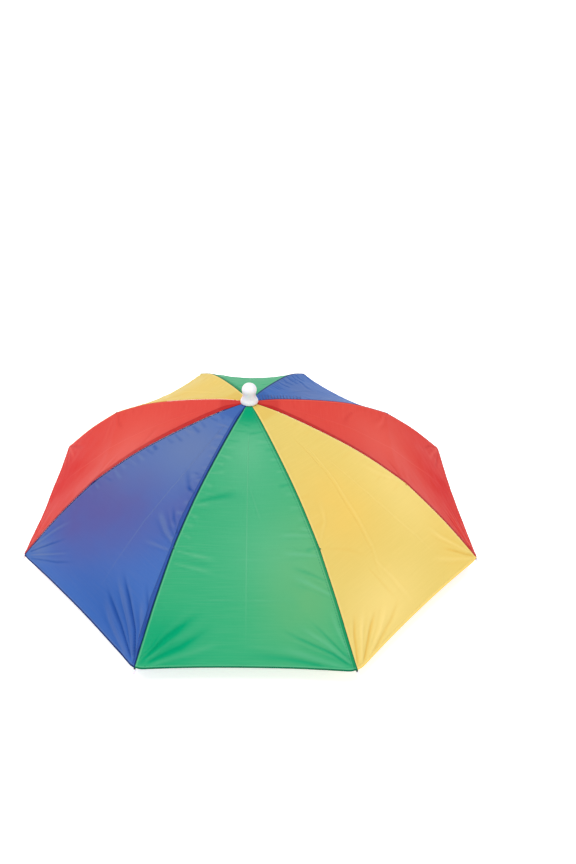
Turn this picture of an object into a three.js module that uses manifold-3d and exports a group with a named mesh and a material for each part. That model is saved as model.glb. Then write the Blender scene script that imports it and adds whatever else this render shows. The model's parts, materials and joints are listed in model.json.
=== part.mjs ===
// A sun and rain hat shaped like a small umbrella, in millimetres, with +Z up.
// It stands on the lowest bars of its four strap arms. The origin is on the floor under the hub,
// and the front panel faces -Y.

import * as THREE from "three";
import { mergeVertices } from "three/addons/utils/BufferGeometryUtils.js";
import Module from "manifold-3d";

const wasm = await Module();
wasm.setup();

// Canopy of eight cloth panels
const PANELS = 8;
const TIP_RADIUS = 300;
const CANOPY_DEPTH = 149;
const FOLD_RADIUS = 200;
const FOLD_DROP = 63.5;
const CLOTH_WALL = 1;
const PANEL_SAG = 7;
const CENTRE_CREASE = 0.8;
const HEM_RISE = 3;
const PANEL_COLUMNS = 6;

// Gap between pieces that touch on the real hat
const GAP = 0.3;

// How far each rib ends before the fold, where the two tilt towards each other
const FOLD_GAP = 0.5;

// Ribs and the clips that join them
const RIB_RADIUS = 1.1;
const RIB_SIDES = 6;
const INNER_RIB_STEPS = 9;
const OUTER_RIB_STEPS = 5;
const SADDLE_WALL = 1.2;
const SADDLE_DROP = 0.3;
const FOLD_JOINT_LENGTH = 18;
const FOLD_JOINT_STEPS = 2;
const TIP_CAP_LENGTH = 6;
const TIP_CAP_RADIUS = 1.8;
const TIP_CAP_SIDES = 8;

// Stretcher wires
const WIRE_RADIUS = 1;
const WIRE_SIDES = 6;
const CLIP_RADIUS = 114;
const CLIP_LENGTH = 10;

// Hub, with all drops measured down from the cloth on the axis
const ROUND_SIDES = 20;
const SHAFT_RADIUS = 4;
const SHAFT_LENGTH = 35;
const CROWN_RADIUS = 9;
const CROWN_HEIGHT = 6.5;
const CROWN_NOTCH_RADIUS = 5.5;
const FINIAL_HEIGHT = 23;
const FINIAL_SKIRT_RADIUS = 10.8;
const FINIAL_NECK_RADIUS = 7.5;
const FINIAL_DOME_RADIUS = 9;
const FINIAL_SKIRT_HEIGHT = 4;
const RUNNER_DROP = 20;
const RUNNER_LENGTH = 18;
const RUNNER_RADIUS = 7.5;
const RUNNER_NOTCH_RADIUS = 5.6;
const RUNNER_WIRE_DROP = 4;
const KNOB_RADIUS = 11;
const KNOB_HEIGHT = 6;
const KNOB_NECK_RADIUS = 6;
const KNOB_NECK_HEIGHT = 2.5;

// Cloth ruff round the hub
const RUFF_RADIUS = 38;
const RUFF_WALL = 1.2;
const RUFF_DROP = 12;
const RUFF_FALL = 5;
const RUFF_CRUMPLE = 3;
const RUFF_LOBE = 0.1;
const RUFF_COLUMNS = 40;

// Headband and the four strap arms that carry it
const BAND_RADIUS = 86;
const BAND_WIDTH = 25;
const BAND_WALL = 1.5;
const BAND_PLAY = 1;
const BAND_WAVE = 2;
const BAND_CORNER_STEPS = 14;
const JOIN_ANGLE = 0.3;
const ARMS = 4;
const ARM_LENGTH = 150;
const ARM_WIDTH = 7.5;
const ARM_WALL = 1.6;
const ARM_BOW = 9;
const ARM_STEPS = 8;
const LOOP_WIDTH = 21;
const RAIL_WIDTH = 2.6;
const BAR_HEIGHT = 5;
const TONGUE_LENGTH = 28;
const FOOT_RADIUS = 80;
const FOOT_REACH = 7;
const FOOT_ROOT = 8;

// The line that a rib follows under its seam: out and down as shares of the fold joint's radius
// and drop, then as shares of the way from the fold joint to the corner.
const INNER_SEAM = [
  { out: 0, down: 0 },
  { out: 0.19, down: 0.08 },
  { out: 0.5, down: 0.335 },
  { out: 0.75, down: 0.61 },
  { out: 1, down: 1 },
];
const OUTER_SEAM = [
  { out: 0, down: 0 },
  { out: 0.5, down: 0.46 },
  { out: 1, down: 1 },
];

// Rows of a panel: along the inner rib as a share of its length, then along the outer rib, with the
// sag between the seams and the crease down the middle as shares of their deepest.
const PANEL_ROWS = [
  { rib: "inner", along: 0.1, sag: 0, crease: 0 },
  { rib: "inner", along: 0.22, sag: 0.12, crease: 0.6 },
  { rib: "inner", along: 0.36, sag: 0.3, crease: 1 },
  { rib: "inner", along: 0.5, sag: 0.48, crease: 1 },
  { rib: "inner", along: 0.64, sag: 0.68, crease: 1 },
  { rib: "inner", along: 0.78, sag: 0.86, crease: 1 },
  { rib: "inner", along: 0.9, sag: 0.97, crease: 1 },
  { rib: "inner", along: 1, sag: 1, crease: 1 },
  { rib: "outer", along: 0.12, sag: 0.97, crease: 1 },
  { rib: "outer", along: 0.3, sag: 0.84, crease: 1 },
  { rib: "outer", along: 0.5, sag: 0.64, crease: 0.9 },
  { rib: "outer", along: 0.7, sag: 0.45, crease: 0.7 },
  { rib: "outer", along: 0.88, sag: 0.3, crease: 0.4 },
  { rib: "outer", along: 1, sag: 0.22, crease: 0 },
];

// Rows of the ruff, out from the shaft, with shares of its fall and of its crumpling.
const RUFF_ROWS = [
  { out: 0, fall: 0, crumple: 0 },
  { out: 0.25, fall: 0.1, crumple: 0.2 },
  { out: 0.5, fall: 0.4, crumple: 0.6 },
  { out: 0.75, fall: 0.8, crumple: 0.9 },
  { out: 1, fall: 1, crumple: 1 },
];

// Waves round the ruff's edge and the headband: lobes in a turn, height as a share, and turn.
const RUFF_WAVES = [
  { lobes: 8, height: 0.6, turn: 0.4 },
  { lobes: 5, height: 0.4, turn: 1.9 },
];

const HALF_PANEL = Math.PI / PANELS;
const RIB_DEPTH = CLOTH_WALL + GAP + RIB_RADIUS;
const SADDLE_TOP = RIB_DEPTH + SADDLE_DROP;
const SADDLE_FLOOR = RIB_DEPTH + RIB_RADIUS + GAP;
const SADDLE_BOTTOM = SADDLE_FLOOR + SADDLE_WALL;

const innerSeam = new THREE.SplineCurve(
  INNER_SEAM.map((row) => new THREE.Vector2(row.out * FOLD_RADIUS, -row.down * FOLD_DROP)),
);
const outerSeam = new THREE.SplineCurve(
  OUTER_SEAM.map(
    (row) =>
      new THREE.Vector2(
        FOLD_RADIUS + row.out * (TIP_RADIUS - FOLD_RADIUS),
        -FOLD_DROP - row.down * (CANOPY_DEPTH - FOLD_DROP),
      ),
  ),
);
const INNER_LENGTH = innerSeam.getLength();
const OUTER_LENGTH = outerSeam.getLength();
const SEAM_LENGTH = INNER_LENGTH + OUTER_LENGTH;

// The cloth's outer surface at a length along a seam from the axis, with its direction and normal.
// Past either end it goes straight on.
function seamAt(length, side = length <= INNER_LENGTH ? "inner" : "outer") {
  const curve = side === "inner" ? innerSeam : outerSeam;
  const whole = side === "inner" ? INNER_LENGTH : OUTER_LENGTH;
  const along = side === "inner" ? length : length - INNER_LENGTH;
  const kept = Math.min(Math.max(along, 0), whole);
  const tangent = curve.getTangentAt(kept / whole);
  const point = curve.getPointAt(kept / whole).addScaledVector(tangent, along - kept);
  return { point, tangent, normal: new THREE.Vector2(-tangent.y, tangent.x) };
}

// The length along the inner seam where it is a given distance from the axis.
function lengthAtRadius(radius) {
  let low = 0;
  let high = INNER_LENGTH;
  while (high - low > 1e-6) {
    const middle = (low + high) / 2;
    if (seamAt(middle).point.x < radius) {
      low = middle;
    } else {
      high = middle;
    }
  }
  return low;
}

// Height over the hub cloth of a point at a depth under the seam, at a given radius.
function heightUnderSeam(radius, depth) {
  const { point, normal } = seamAt(lengthAtRadius(radius));
  return point.y - depth / normal.y;
}

// Merges a geometry's shared corners, drops empty faces and turns the faces outwards.
function weld(geometry) {
  const bare = geometry.clone();
  bare.deleteAttribute("normal");
  bare.deleteAttribute("uv");
  const merged = mergeVertices(bare, 1e-4);
  const corners = merged.getAttribute("position");
  const faces = [];
  const [a, b, c] = [new THREE.Vector3(), new THREE.Vector3(), new THREE.Vector3()];
  let volume = 0;
  for (let i = 0; i < merged.index.count; i += 3) {
    const face = [merged.index.getX(i), merged.index.getX(i + 1), merged.index.getX(i + 2)];
    if (new Set(face).size === 3) {
      faces.push(face);
      a.fromBufferAttribute(corners, face[0]);
      b.fromBufferAttribute(corners, face[1]);
      c.fromBufferAttribute(corners, face[2]);
      volume += a.dot(b.cross(c));
    }
  }
  merged.setIndex(faces.flatMap((face) => (volume < 0 ? [face[0], face[2], face[1]] : face)));
  merged.computeVertexNormals();
  return merged;
}

function solidOf(geometry) {
  const welded = weld(geometry);
  const mesh = new wasm.Mesh({
    numProp: 3,
    vertProperties: new Float32Array(welded.getAttribute("position").array),
    triVerts: new Uint32Array(welded.index.array),
  });
  return new wasm.Manifold(mesh);
}

function geometryOf(solid) {
  const mesh = solid.getMesh();
  const geometry = new THREE.BufferGeometry();
  geometry.setAttribute("position", new THREE.Float32BufferAttribute(mesh.vertProperties, 3));
  geometry.setIndex(new THREE.BufferAttribute(mesh.triVerts, 1));
  geometry.computeVertexNormals();
  return geometry;
}

function joined(geometries) {
  return geometryOf(geometries.map(solidOf).reduce((whole, piece) => whole.add(piece)));
}

function cut(geometry, cutters) {
  return geometryOf(cutters.map(solidOf).reduce((rest, cutter) => rest.subtract(cutter), solidOf(geometry)));
}

function turnedProfile(rows, sides = ROUND_SIDES) {
  const profile = rows.map(([radius, height]) => new THREE.Vector2(radius, height));
  return new THREE.LatheGeometry(profile, sides).rotateX(Math.PI / 2);
}

function box(low, high) {
  const size = high.map((value, i) => value - low[i]);
  const middle = high.map((value, i) => (value + low[i]) / 2);
  return new THREE.BoxGeometry(...size).translate(...middle);
}

// A closed wall from a grid of outer points and the matching grid of inner points. A grid is a list
// of rows, and it may close on itself from its last column to its first.
function wallOf(outer, inner, closed = false) {
  const rows = outer.length;
  const columns = outer[0].length;
  const corners = [...outer.flat(), ...inner.flat()].flatMap((point) => point.toArray());
  const faces = [];
  const at = (side, row, column) => (side * rows + row) * columns + (column % columns);
  const quad = (a, b, c, d) => faces.push(a, b, c, a, c, d);
  const spans = closed ? columns : columns - 1;
  for (let column = 0; column < spans; column += 1) {
    const next = column + 1;
    for (let row = 0; row < rows - 1; row += 1) {
      quad(at(0, row, column), at(0, row + 1, column), at(0, row + 1, next), at(0, row, next));
      quad(at(1, row, column), at(1, row, next), at(1, row + 1, next), at(1, row + 1, column));
    }
    quad(at(0, 0, column), at(0, 0, next), at(1, 0, next), at(1, 0, column));
    quad(
      at(0, rows - 1, column),
      at(1, rows - 1, column),
      at(1, rows - 1, next),
      at(0, rows - 1, next),
    );
  }
  if (!closed) {
    const last = columns - 1;
    for (let row = 0; row < rows - 1; row += 1) {
      quad(at(0, row, 0), at(1, row, 0), at(1, row + 1, 0), at(0, row + 1, 0));
      quad(at(0, row, last), at(0, row + 1, last), at(1, row + 1, last), at(1, row, last));
    }
  }
  const geometry = new THREE.BufferGeometry();
  geometry.setAttribute("position", new THREE.Float32BufferAttribute(corners, 3));
  geometry.setIndex(faces);
  return weld(geometry);
}

// A stretch of seam as a path in the XZ plane. A section swept on it has its own y as the depth
// under the cloth's outer surface.
class SeamPath extends THREE.Curve {
  constructor(start, end, side) {
    super();
    this.start = start;
    this.end = end;
    this.side = side;
  }

  getPoint(share, target = new THREE.Vector3()) {
    const { point } = seamAt(THREE.MathUtils.lerp(this.start, this.end, share), this.side);
    return target.set(point.x, 0, point.y);
  }
}

function polygon(points) {
  return new THREE.Shape(points.map(([x, y]) => new THREE.Vector2(x, y)));
}

// A regular section with a corner on top, so that the cloth beside the seam clears it.
function roundSection(radius, sides, depth = 0) {
  const corners = Array.from({ length: sides }, (_, i) => {
    const angle = (i / sides) * 2 * Math.PI;
    return [radius * Math.sin(angle), depth - radius * Math.cos(angle)];
  });
  return polygon(corners);
}

function sweep(section, path, steps) {
  return new THREE.ExtrudeGeometry(section, { extrudePath: path, steps, bevelEnabled: false });
}

// An outline in across and up, given a thickness outwards from the axis.
function upright(shape, low, thickness) {
  const across = new THREE.Vector3(0, 1, 0);
  const up = new THREE.Vector3(0, 0, 1);
  const out = new THREE.Vector3(1, 0, 0);
  return new THREE.ExtrudeGeometry(shape, { depth: thickness, steps: 1, bevelEnabled: false })
    .applyMatrix4(new THREE.Matrix4().makeBasis(across, up, out))
    .translate(low, 0, 0);
}

// One panel with its middle along +X. The chord between the two seams is lowered by the sag, and
// the middle stands up again by the crease.
function panelGeometry() {
  const holeRadius = (SHAFT_RADIUS + GAP) / Math.cos(HALF_PANEL);
  const hole = { length: lengthAtRadius(holeRadius), side: "inner", sag: 0, crease: 0, rise: 0 };
  const rows = PANEL_ROWS.map(({ rib, along, sag, crease }) => ({
    length: rib === "inner" ? along * INNER_LENGTH : INNER_LENGTH + along * OUTER_LENGTH,
    side: rib,
    sag: sag * PANEL_SAG,
    crease: crease * CENTRE_CREASE,
    rise: rib === "inner" ? 0 : along * along * HEM_RISE,
  }));
  const surface = (depth) =>
    [hole, ...rows].map((row) =>
      Array.from({ length: PANEL_COLUMNS + 1 }, (_, i) => {
        const across = (2 * i) / PANEL_COLUMNS - 1;
        const belly = 1 - across * across;
        const { point, normal } = seamAt(row.length - row.rise * belly, row.side);
        const middle = i === PANEL_COLUMNS / 2 ? row.crease : 0;
        const out = point.x - normal.x * depth;
        const lowered = row.sag * belly - middle;
        const halfChord = out * Math.sin(HALF_PANEL) - (GAP / 2) * Math.cos(HALF_PANEL);
        return new THREE.Vector3(
          out * Math.cos(HALF_PANEL) + (GAP / 2) * Math.sin(HALF_PANEL) - normal.x * lowered,
          across * halfChord,
          point.y - normal.y * (depth + lowered),
        );
      }),
    );
  return wallOf(surface(0), surface(CLOTH_WALL));
}

function innerRibGeometry() {
  const { normal } = seamAt(lengthAtRadius(CROWN_NOTCH_RADIUS));
  const start = CROWN_NOTCH_RADIUS + GAP + normal.x * (RIB_DEPTH + RIB_RADIUS);
  const path = new SeamPath(lengthAtRadius(start), INNER_LENGTH - FOLD_GAP, "inner");
  return weld(sweep(roundSection(RIB_RADIUS, RIB_SIDES, RIB_DEPTH), path, INNER_RIB_STEPS));
}

function outerRibGeometry() {
  const path = new SeamPath(INNER_LENGTH + FOLD_GAP, SEAM_LENGTH, "outer");
  return weld(sweep(roundSection(RIB_RADIUS, RIB_SIDES, RIB_DEPTH), path, OUTER_RIB_STEPS));
}

// A channel that holds a rib from below.
function saddleSection() {
  const half = RIB_RADIUS + GAP;
  const outer = half + SADDLE_WALL;
  return polygon([
    [-outer, SADDLE_TOP],
    [-half, SADDLE_TOP],
    [-half, SADDLE_FLOOR],
    [half, SADDLE_FLOOR],
    [half, SADDLE_TOP],
    [outer, SADDLE_TOP],
    [outer, SADDLE_BOTTOM],
    [-outer, SADDLE_BOTTOM],
  ]);
}

function foldJointGeometry() {
  const half = FOLD_JOINT_LENGTH / 2;
  const inner = new SeamPath(INNER_LENGTH - half, INNER_LENGTH + GAP, "inner");
  const outer = new SeamPath(INNER_LENGTH - GAP, INNER_LENGTH + half, "outer");
  return joined([
    sweep(saddleSection(), inner, FOLD_JOINT_STEPS),
    sweep(saddleSection(), outer, FOLD_JOINT_STEPS),
  ]);
}

// A rounded cap past the end of the outer rib, on the rib's own line.
function tipCapGeometry() {
  const profile = [
    [0, 0],
    [TIP_CAP_RADIUS * 0.8, 0],
    [TIP_CAP_RADIUS, TIP_CAP_LENGTH * 0.25],
    [TIP_CAP_RADIUS, TIP_CAP_LENGTH * 0.65],
    [TIP_CAP_RADIUS * 0.6, TIP_CAP_LENGTH * 0.92],
    [0, TIP_CAP_LENGTH],
  ];
  const { point, tangent, normal } = seamAt(SEAM_LENGTH + GAP, "outer");
  const start = point.clone().addScaledVector(normal, -RIB_DEPTH);
  const cap = turnedProfile(profile, TIP_CAP_SIDES);
  cap.rotateY(Math.PI / 2 - Math.atan2(tangent.y, tangent.x));
  return weld(cap.translate(start.x, 0, start.y));
}

// The straight line of a stretcher wire, from its notch in the runner to its clip on the rib.
const WIRE_START = new THREE.Vector2(RUNNER_NOTCH_RADIUS + GAP, -RUNNER_DROP - RUNNER_WIRE_DROP);
const WIRE_END = (() => {
  const { point, normal } = seamAt(lengthAtRadius(CLIP_RADIUS));
  return point.addScaledVector(normal, -SADDLE_BOTTOM);
})();

function wireHeight(radius) {
  const share = (radius - WIRE_START.x) / (WIRE_END.x - WIRE_START.x);
  return THREE.MathUtils.lerp(WIRE_START.y, WIRE_END.y, share);
}

function stretcherGeometry() {
  const middle = lengthAtRadius(CLIP_RADIUS);
  const clip = new SeamPath(middle - CLIP_LENGTH / 2, middle + CLIP_LENGTH / 2, "inner");
  const wire = new THREE.LineCurve3(
    new THREE.Vector3(WIRE_START.x, 0, WIRE_START.y),
    new THREE.Vector3(WIRE_END.x, 0, WIRE_END.y),
  );
  return joined([
    sweep(saddleSection(), clip, 1),
    sweep(roundSection(WIRE_RADIUS, WIRE_SIDES), wire, 1),
  ]);
}

// Slots round the hub for rods of a given width, from a radius outwards.
function notches(width, innerRadius, outerRadius, bottom, top) {
  return Array.from({ length: PANELS }, (_, i) =>
    box([innerRadius, -width / 2, bottom], [outerRadius + 1, width / 2, top]).rotateZ(
      (2 * i + 1) * HALF_PANEL,
    ),
  );
}

// The shaft with its notched crown, which holds the ribs' inner ends.
function hubGeometry() {
  const crownTop = heightUnderSeam(CROWN_RADIUS / Math.cos(HALF_PANEL), CLOTH_WALL + GAP);
  const crownBottom = crownTop - CROWN_HEIGHT;
  const ribBottom = heightUnderSeam(CROWN_RADIUS, RIB_DEPTH + RIB_RADIUS + GAP);
  const body = turnedProfile([
    [0, -SHAFT_LENGTH],
    [SHAFT_RADIUS, -SHAFT_LENGTH],
    [SHAFT_RADIUS, crownBottom],
    [CROWN_RADIUS - 1, crownBottom],
    [CROWN_RADIUS, crownBottom + 1],
    [CROWN_RADIUS, crownTop],
    [SHAFT_RADIUS, crownTop],
    [SHAFT_RADIUS, 0],
    [0, 0],
  ]);
  const width = 2 * (RIB_RADIUS + GAP);
  return cut(body, notches(width, CROWN_NOTCH_RADIUS, CROWN_RADIUS, ribBottom, 0));
}

// The collar that slides on the shaft, with slots for the stretchers and a knob to push it by.
function runnerGeometry() {
  const top = -RUNNER_DROP;
  const bottom = top - RUNNER_LENGTH;
  const knobTop = bottom - KNOB_NECK_HEIGHT;
  const knobBottom = knobTop - KNOB_HEIGHT;
  const boreRadius = SHAFT_RADIUS + GAP;
  const body = turnedProfile([
    [0, knobBottom],
    [KNOB_RADIUS * 0.6, knobBottom + KNOB_HEIGHT * 0.1],
    [KNOB_RADIUS * 0.93, knobBottom + KNOB_HEIGHT * 0.35],
    [KNOB_RADIUS, knobBottom + KNOB_HEIGHT * 0.65],
    [KNOB_RADIUS * 0.9, knobTop],
    [KNOB_NECK_RADIUS, knobTop],
    [KNOB_NECK_RADIUS, bottom],
    [RUNNER_RADIUS, bottom],
    [RUNNER_RADIUS, top],
    [boreRadius, top],
    [boreRadius, -SHAFT_LENGTH - GAP],
    [0, -SHAFT_LENGTH - GAP],
  ]);
  const width = 2 * (WIRE_RADIUS + GAP);
  const floor = wireHeight(RUNNER_RADIUS) - WIRE_RADIUS - GAP;
  return cut(body, notches(width, RUNNER_NOTCH_RADIUS, RUNNER_RADIUS, floor, top + 1));
}

// A knob with a bell skirt, a narrow neck and a round head. Its underside follows the cloth.
function finialGeometry() {
  const holeRadius = SHAFT_RADIUS + GAP;
  const skirtBottom = heightUnderSeam(FINIAL_SKIRT_RADIUS, 0) + GAP;
  const domeMiddle = FINIAL_HEIGHT - FINIAL_DOME_RADIUS;
  const neckHeight = (FINIAL_SKIRT_HEIGHT + domeMiddle) * 0.52;
  const skirt = new THREE.SplineCurve([
    new THREE.Vector2(FINIAL_SKIRT_RADIUS, FINIAL_SKIRT_HEIGHT * 0.6),
    new THREE.Vector2(FINIAL_SKIRT_RADIUS * 0.86, FINIAL_SKIRT_HEIGHT * 1.5),
    new THREE.Vector2(FINIAL_NECK_RADIUS, neckHeight),
    new THREE.Vector2(FINIAL_DOME_RADIUS, domeMiddle),
  ]);
  const dome = new THREE.EllipseCurve(0, domeMiddle, FINIAL_DOME_RADIUS, FINIAL_DOME_RADIUS, 0, Math.PI / 2);
  const outline = [...skirt.getPoints(8), ...dome.getPoints(6).slice(1)];
  return weld(
    turnedProfile([
      [0, GAP],
      [holeRadius, GAP],
      [FINIAL_SKIRT_RADIUS * 0.93, skirtBottom + GAP],
      ...outline.map(({ x, y }) => [x, y]),
    ]),
  );
}

function ruffGeometry() {
  const hole = SHAFT_RADIUS + GAP;
  const surface = (depth) =>
    RUFF_ROWS.map((row) =>
      Array.from({ length: RUFF_COLUMNS }, (_, i) => {
        const angle = (i / RUFF_COLUMNS) * 2 * Math.PI;
        const wave = RUFF_WAVES.reduce(
          (sum, { lobes, height, turn }) => sum + height * Math.sin(lobes * angle + turn),
          0,
        );
        const reach = hole + row.out * (RUFF_RADIUS * (1 + RUFF_LOBE * wave) - hole);
        const height = -RUFF_DROP - row.fall * RUFF_FALL + row.crumple * RUFF_CRUMPLE * wave;
        return new THREE.Vector3(reach * Math.cos(angle), reach * Math.sin(angle), height - depth);
      }),
    );
  return wallOf(surface(0), surface(RUFF_WALL), true);
}

// The band's outline seen from above: flat where it runs through the arms' loops, and round
// between them.
function bandOutline(offset) {
  const flat = LOOP_WIDTH / 2 + 1;
  const corner = BAND_RADIUS - flat;
  const points = [];
  for (let arm = 0; arm < ARMS; arm += 1) {
    const start = (arm * 2 * Math.PI) / ARMS;
    const middle = start + Math.PI / ARMS;
    const centre = new THREE.Vector2(flat * Math.SQRT2, 0).rotateAround(new THREE.Vector2(), middle);
    for (let step = 0; step <= BAND_CORNER_STEPS; step += 1) {
      const share = step / BAND_CORNER_STEPS;
      const angle = start + (share * 2 * Math.PI) / ARMS;
      const reach = new THREE.Vector2(corner + offset, 0).rotateAround(new THREE.Vector2(), angle);
      points.push({ place: centre.clone().add(reach), share, arm });
    }
  }
  return points;
}

function bandGeometry() {
  const lift = ({ share, arm }) => {
    const side = arm % 2 === 0 ? 1 : -1;
    return side * BAND_WAVE * Math.sin(share * Math.PI) ** 2;
  };
  const bottom = BAR_HEIGHT + BAND_PLAY;
  const side = (offset) =>
    [bottom, bottom + BAND_WIDTH].map((height) =>
      bandOutline(offset).map(
        (point) => new THREE.Vector3(point.place.x, point.place.y, height + lift(point)),
      ),
    );
  const band = wallOf(side(BAND_WALL / 2), side(-BAND_WALL / 2), true);
  return joined([band, bandJoinGeometry(bottom)]);
}

// The stretch where the band's ends overlap and are sewn, twice as thick as the rest.
function bandJoinGeometry(bottom) {
  const flat = LOOP_WIDTH / 2 + 1;
  const middle = Math.PI / ARMS;
  const inner = BAND_RADIUS - flat;
  const outer = inner + 1.5 * BAND_WALL;
  const shape = new THREE.Shape();
  shape.absarc(0, 0, outer, -JOIN_ANGLE / 2, JOIN_ANGLE / 2, false);
  shape.absarc(0, 0, inner, JOIN_ANGLE / 2, -JOIN_ANGLE / 2, true);
  return new THREE.ExtrudeGeometry(shape, { depth: BAND_WIDTH, bevelEnabled: false, curveSegments: 4 })
    .rotateZ(middle)
    .translate(
      flat * Math.SQRT2 * Math.cos(middle),
      flat * Math.SQRT2 * Math.sin(middle),
      bottom + BAND_WAVE,
    );
}

// One strap arm with its loop out along +X. The band runs between the rails, outside it, and the
// tongue, inside it. The foot's notch takes the stretcher wire.
function armGeometry(wireLevel) {
  const railIn = BAND_RADIUS + BAND_WALL / 2 + GAP;
  const tongueIn = BAND_RADIUS - BAND_WALL / 2 - GAP - ARM_WALL;
  const half = LOOP_WIDTH / 2;
  const windowTop = BAR_HEIGHT + BAND_WIDTH + 2 * BAND_PLAY;
  const loopTop = windowTop + BAR_HEIGHT;
  const loop = polygon([[-half, 0], [half, 0], [half, loopTop], [-half, loopTop]]);
  const inside = half - RAIL_WIDTH;
  loop.holes.push(
    new THREE.Path([
      new THREE.Vector2(-inside, BAR_HEIGHT),
      new THREE.Vector2(-inside, windowTop),
      new THREE.Vector2(inside, windowTop),
      new THREE.Vector2(inside, BAR_HEIGHT),
    ]),
  );
  const stripMiddle = railIn + ARM_WALL / 2;
  const footBottom = wireLevel - FOOT_ROOT;
  const path = new THREE.QuadraticBezierCurve3(
    new THREE.Vector3(stripMiddle, 0, windowTop + BAR_HEIGHT / 2),
    new THREE.Vector3((stripMiddle + FOOT_RADIUS) / 2 + ARM_BOW, 0, (windowTop + footBottom) / 2),
    new THREE.Vector3(FOOT_RADIUS, 0, footBottom + ARM_WALL),
  );
  const halfStrip = ARM_WIDTH / 2;
  const halfWall = ARM_WALL / 2;
  const strip = polygon([
    [-halfStrip, -halfWall],
    [halfStrip, -halfWall],
    [halfStrip, halfWall],
    [-halfStrip, halfWall],
  ]);
  const notch = WIRE_RADIUS + GAP;
  const foot = polygon([
    [-halfStrip, footBottom],
    [halfStrip, footBottom],
    [halfStrip, wireLevel - notch],
    [-notch, wireLevel - notch],
    [-notch, wireLevel + notch],
    [halfStrip, wireLevel + notch],
    [0, wireLevel + FOOT_REACH],
    [-halfStrip, wireLevel + notch],
  ]);
  return joined([
    upright(loop, railIn, ARM_WALL),
    box([tongueIn, -half, 0], [railIn + ARM_WALL, half, BAR_HEIGHT]),
    box([tongueIn, -halfStrip, 0], [tongueIn + ARM_WALL, halfStrip, TONGUE_LENGTH]),
    sweep(strip, path, ARM_STEPS),
    upright(foot, FOOT_RADIUS - halfWall, ARM_WALL),
  ]);
}

function material(color, roughness, metalness = 0) {
  return new THREE.MeshStandardMaterial({ color, roughness, metalness });
}

const PANEL_MATERIALS = [
  material("#3fae7c", 0.55),
  material("#ecce72", 0.55),
  material("#dd4f49", 0.55),
  material("#4a69b4", 0.55),
];
const BLACK_STEEL = material("#1a1a1c", 0.4, 0.8);
const WHITE_PLASTIC = material("#f2f1f3", 0.35);
const CLEAR_PLASTIC = material("#dcd8d0", 0.4);
const BLACK_CLOTH = material("#1d1c1d", 0.85);
const BLACK_ELASTIC = material("#191a18", 0.8);

const group = new THREE.Group();
const canopy = new THREE.Group();
const HUB_HEIGHT = ARM_LENGTH - wireHeight(FOOT_RADIUS);
canopy.position.z = HUB_HEIGHT;
group.add(canopy);

function addPiece(parent, name, geometry, look, angle = 0) {
  const mesh = new THREE.Mesh(geometry, look);
  mesh.name = name;
  mesh.rotation.z = angle;
  parent.add(mesh);
}

// Panels and ribs are counted from the front, turning towards +X.
const FRONT = -Math.PI / 2;
const panel = panelGeometry();
const ribPieces = {
  inner_rib: { geometry: innerRibGeometry(), look: BLACK_STEEL },
  outer_rib: { geometry: outerRibGeometry(), look: BLACK_STEEL },
  fold_joint: { geometry: foldJointGeometry(), look: BLACK_STEEL },
  stretcher: { geometry: stretcherGeometry(), look: BLACK_STEEL },
  rib_tip: { geometry: tipCapGeometry(), look: WHITE_PLASTIC },
};
for (let i = 0; i < PANELS; i += 1) {
  const middle = FRONT + 2 * i * HALF_PANEL;
  addPiece(canopy, `panel_${i + 1}`, panel, PANEL_MATERIALS[i % PANEL_MATERIALS.length], middle);
  for (const [name, { geometry, look }] of Object.entries(ribPieces)) {
    addPiece(canopy, `${name}_${i + 1}`, geometry, look, middle + HALF_PANEL);
  }
}

addPiece(canopy, "finial", finialGeometry(), WHITE_PLASTIC);
addPiece(canopy, "hub", hubGeometry(), CLEAR_PLASTIC);
addPiece(canopy, "runner", runnerGeometry(), CLEAR_PLASTIC);
addPiece(canopy, "ruff", ruffGeometry(), BLACK_CLOTH);

// The arms hang from every second stretcher, and the band's join is over the back.
const FIRST_ARM = FRONT + 3 * HALF_PANEL;
const BAND_TURN = FIRST_ARM + Math.PI / 2;
addPiece(group, "headband", weld(bandGeometry()), BLACK_ELASTIC, BAND_TURN);
const arm = armGeometry(ARM_LENGTH);
for (let i = 0; i < ARMS; i += 1) {
  addPiece(group, `strap_arm_${i + 1}`, arm, CLEAR_PLASTIC, FIRST_ARM + (i * 2 * Math.PI) / ARMS);
}

export default group;
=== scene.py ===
# %% [markdown]
# # An umbrella hat
# This notebook dresses a small eight-panel umbrella that is worn on the head. The hard frame of the
# hat is already modelled, so it is loaded first and everything else is made to fit it: cloth over
# the ribs, thread on the seams, woven elastic in the strap loops, and a finish for each material.

# %% Load the frame
import json
import math

import bpy
import numpy as np
from mathutils import Matrix, Vector

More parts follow.
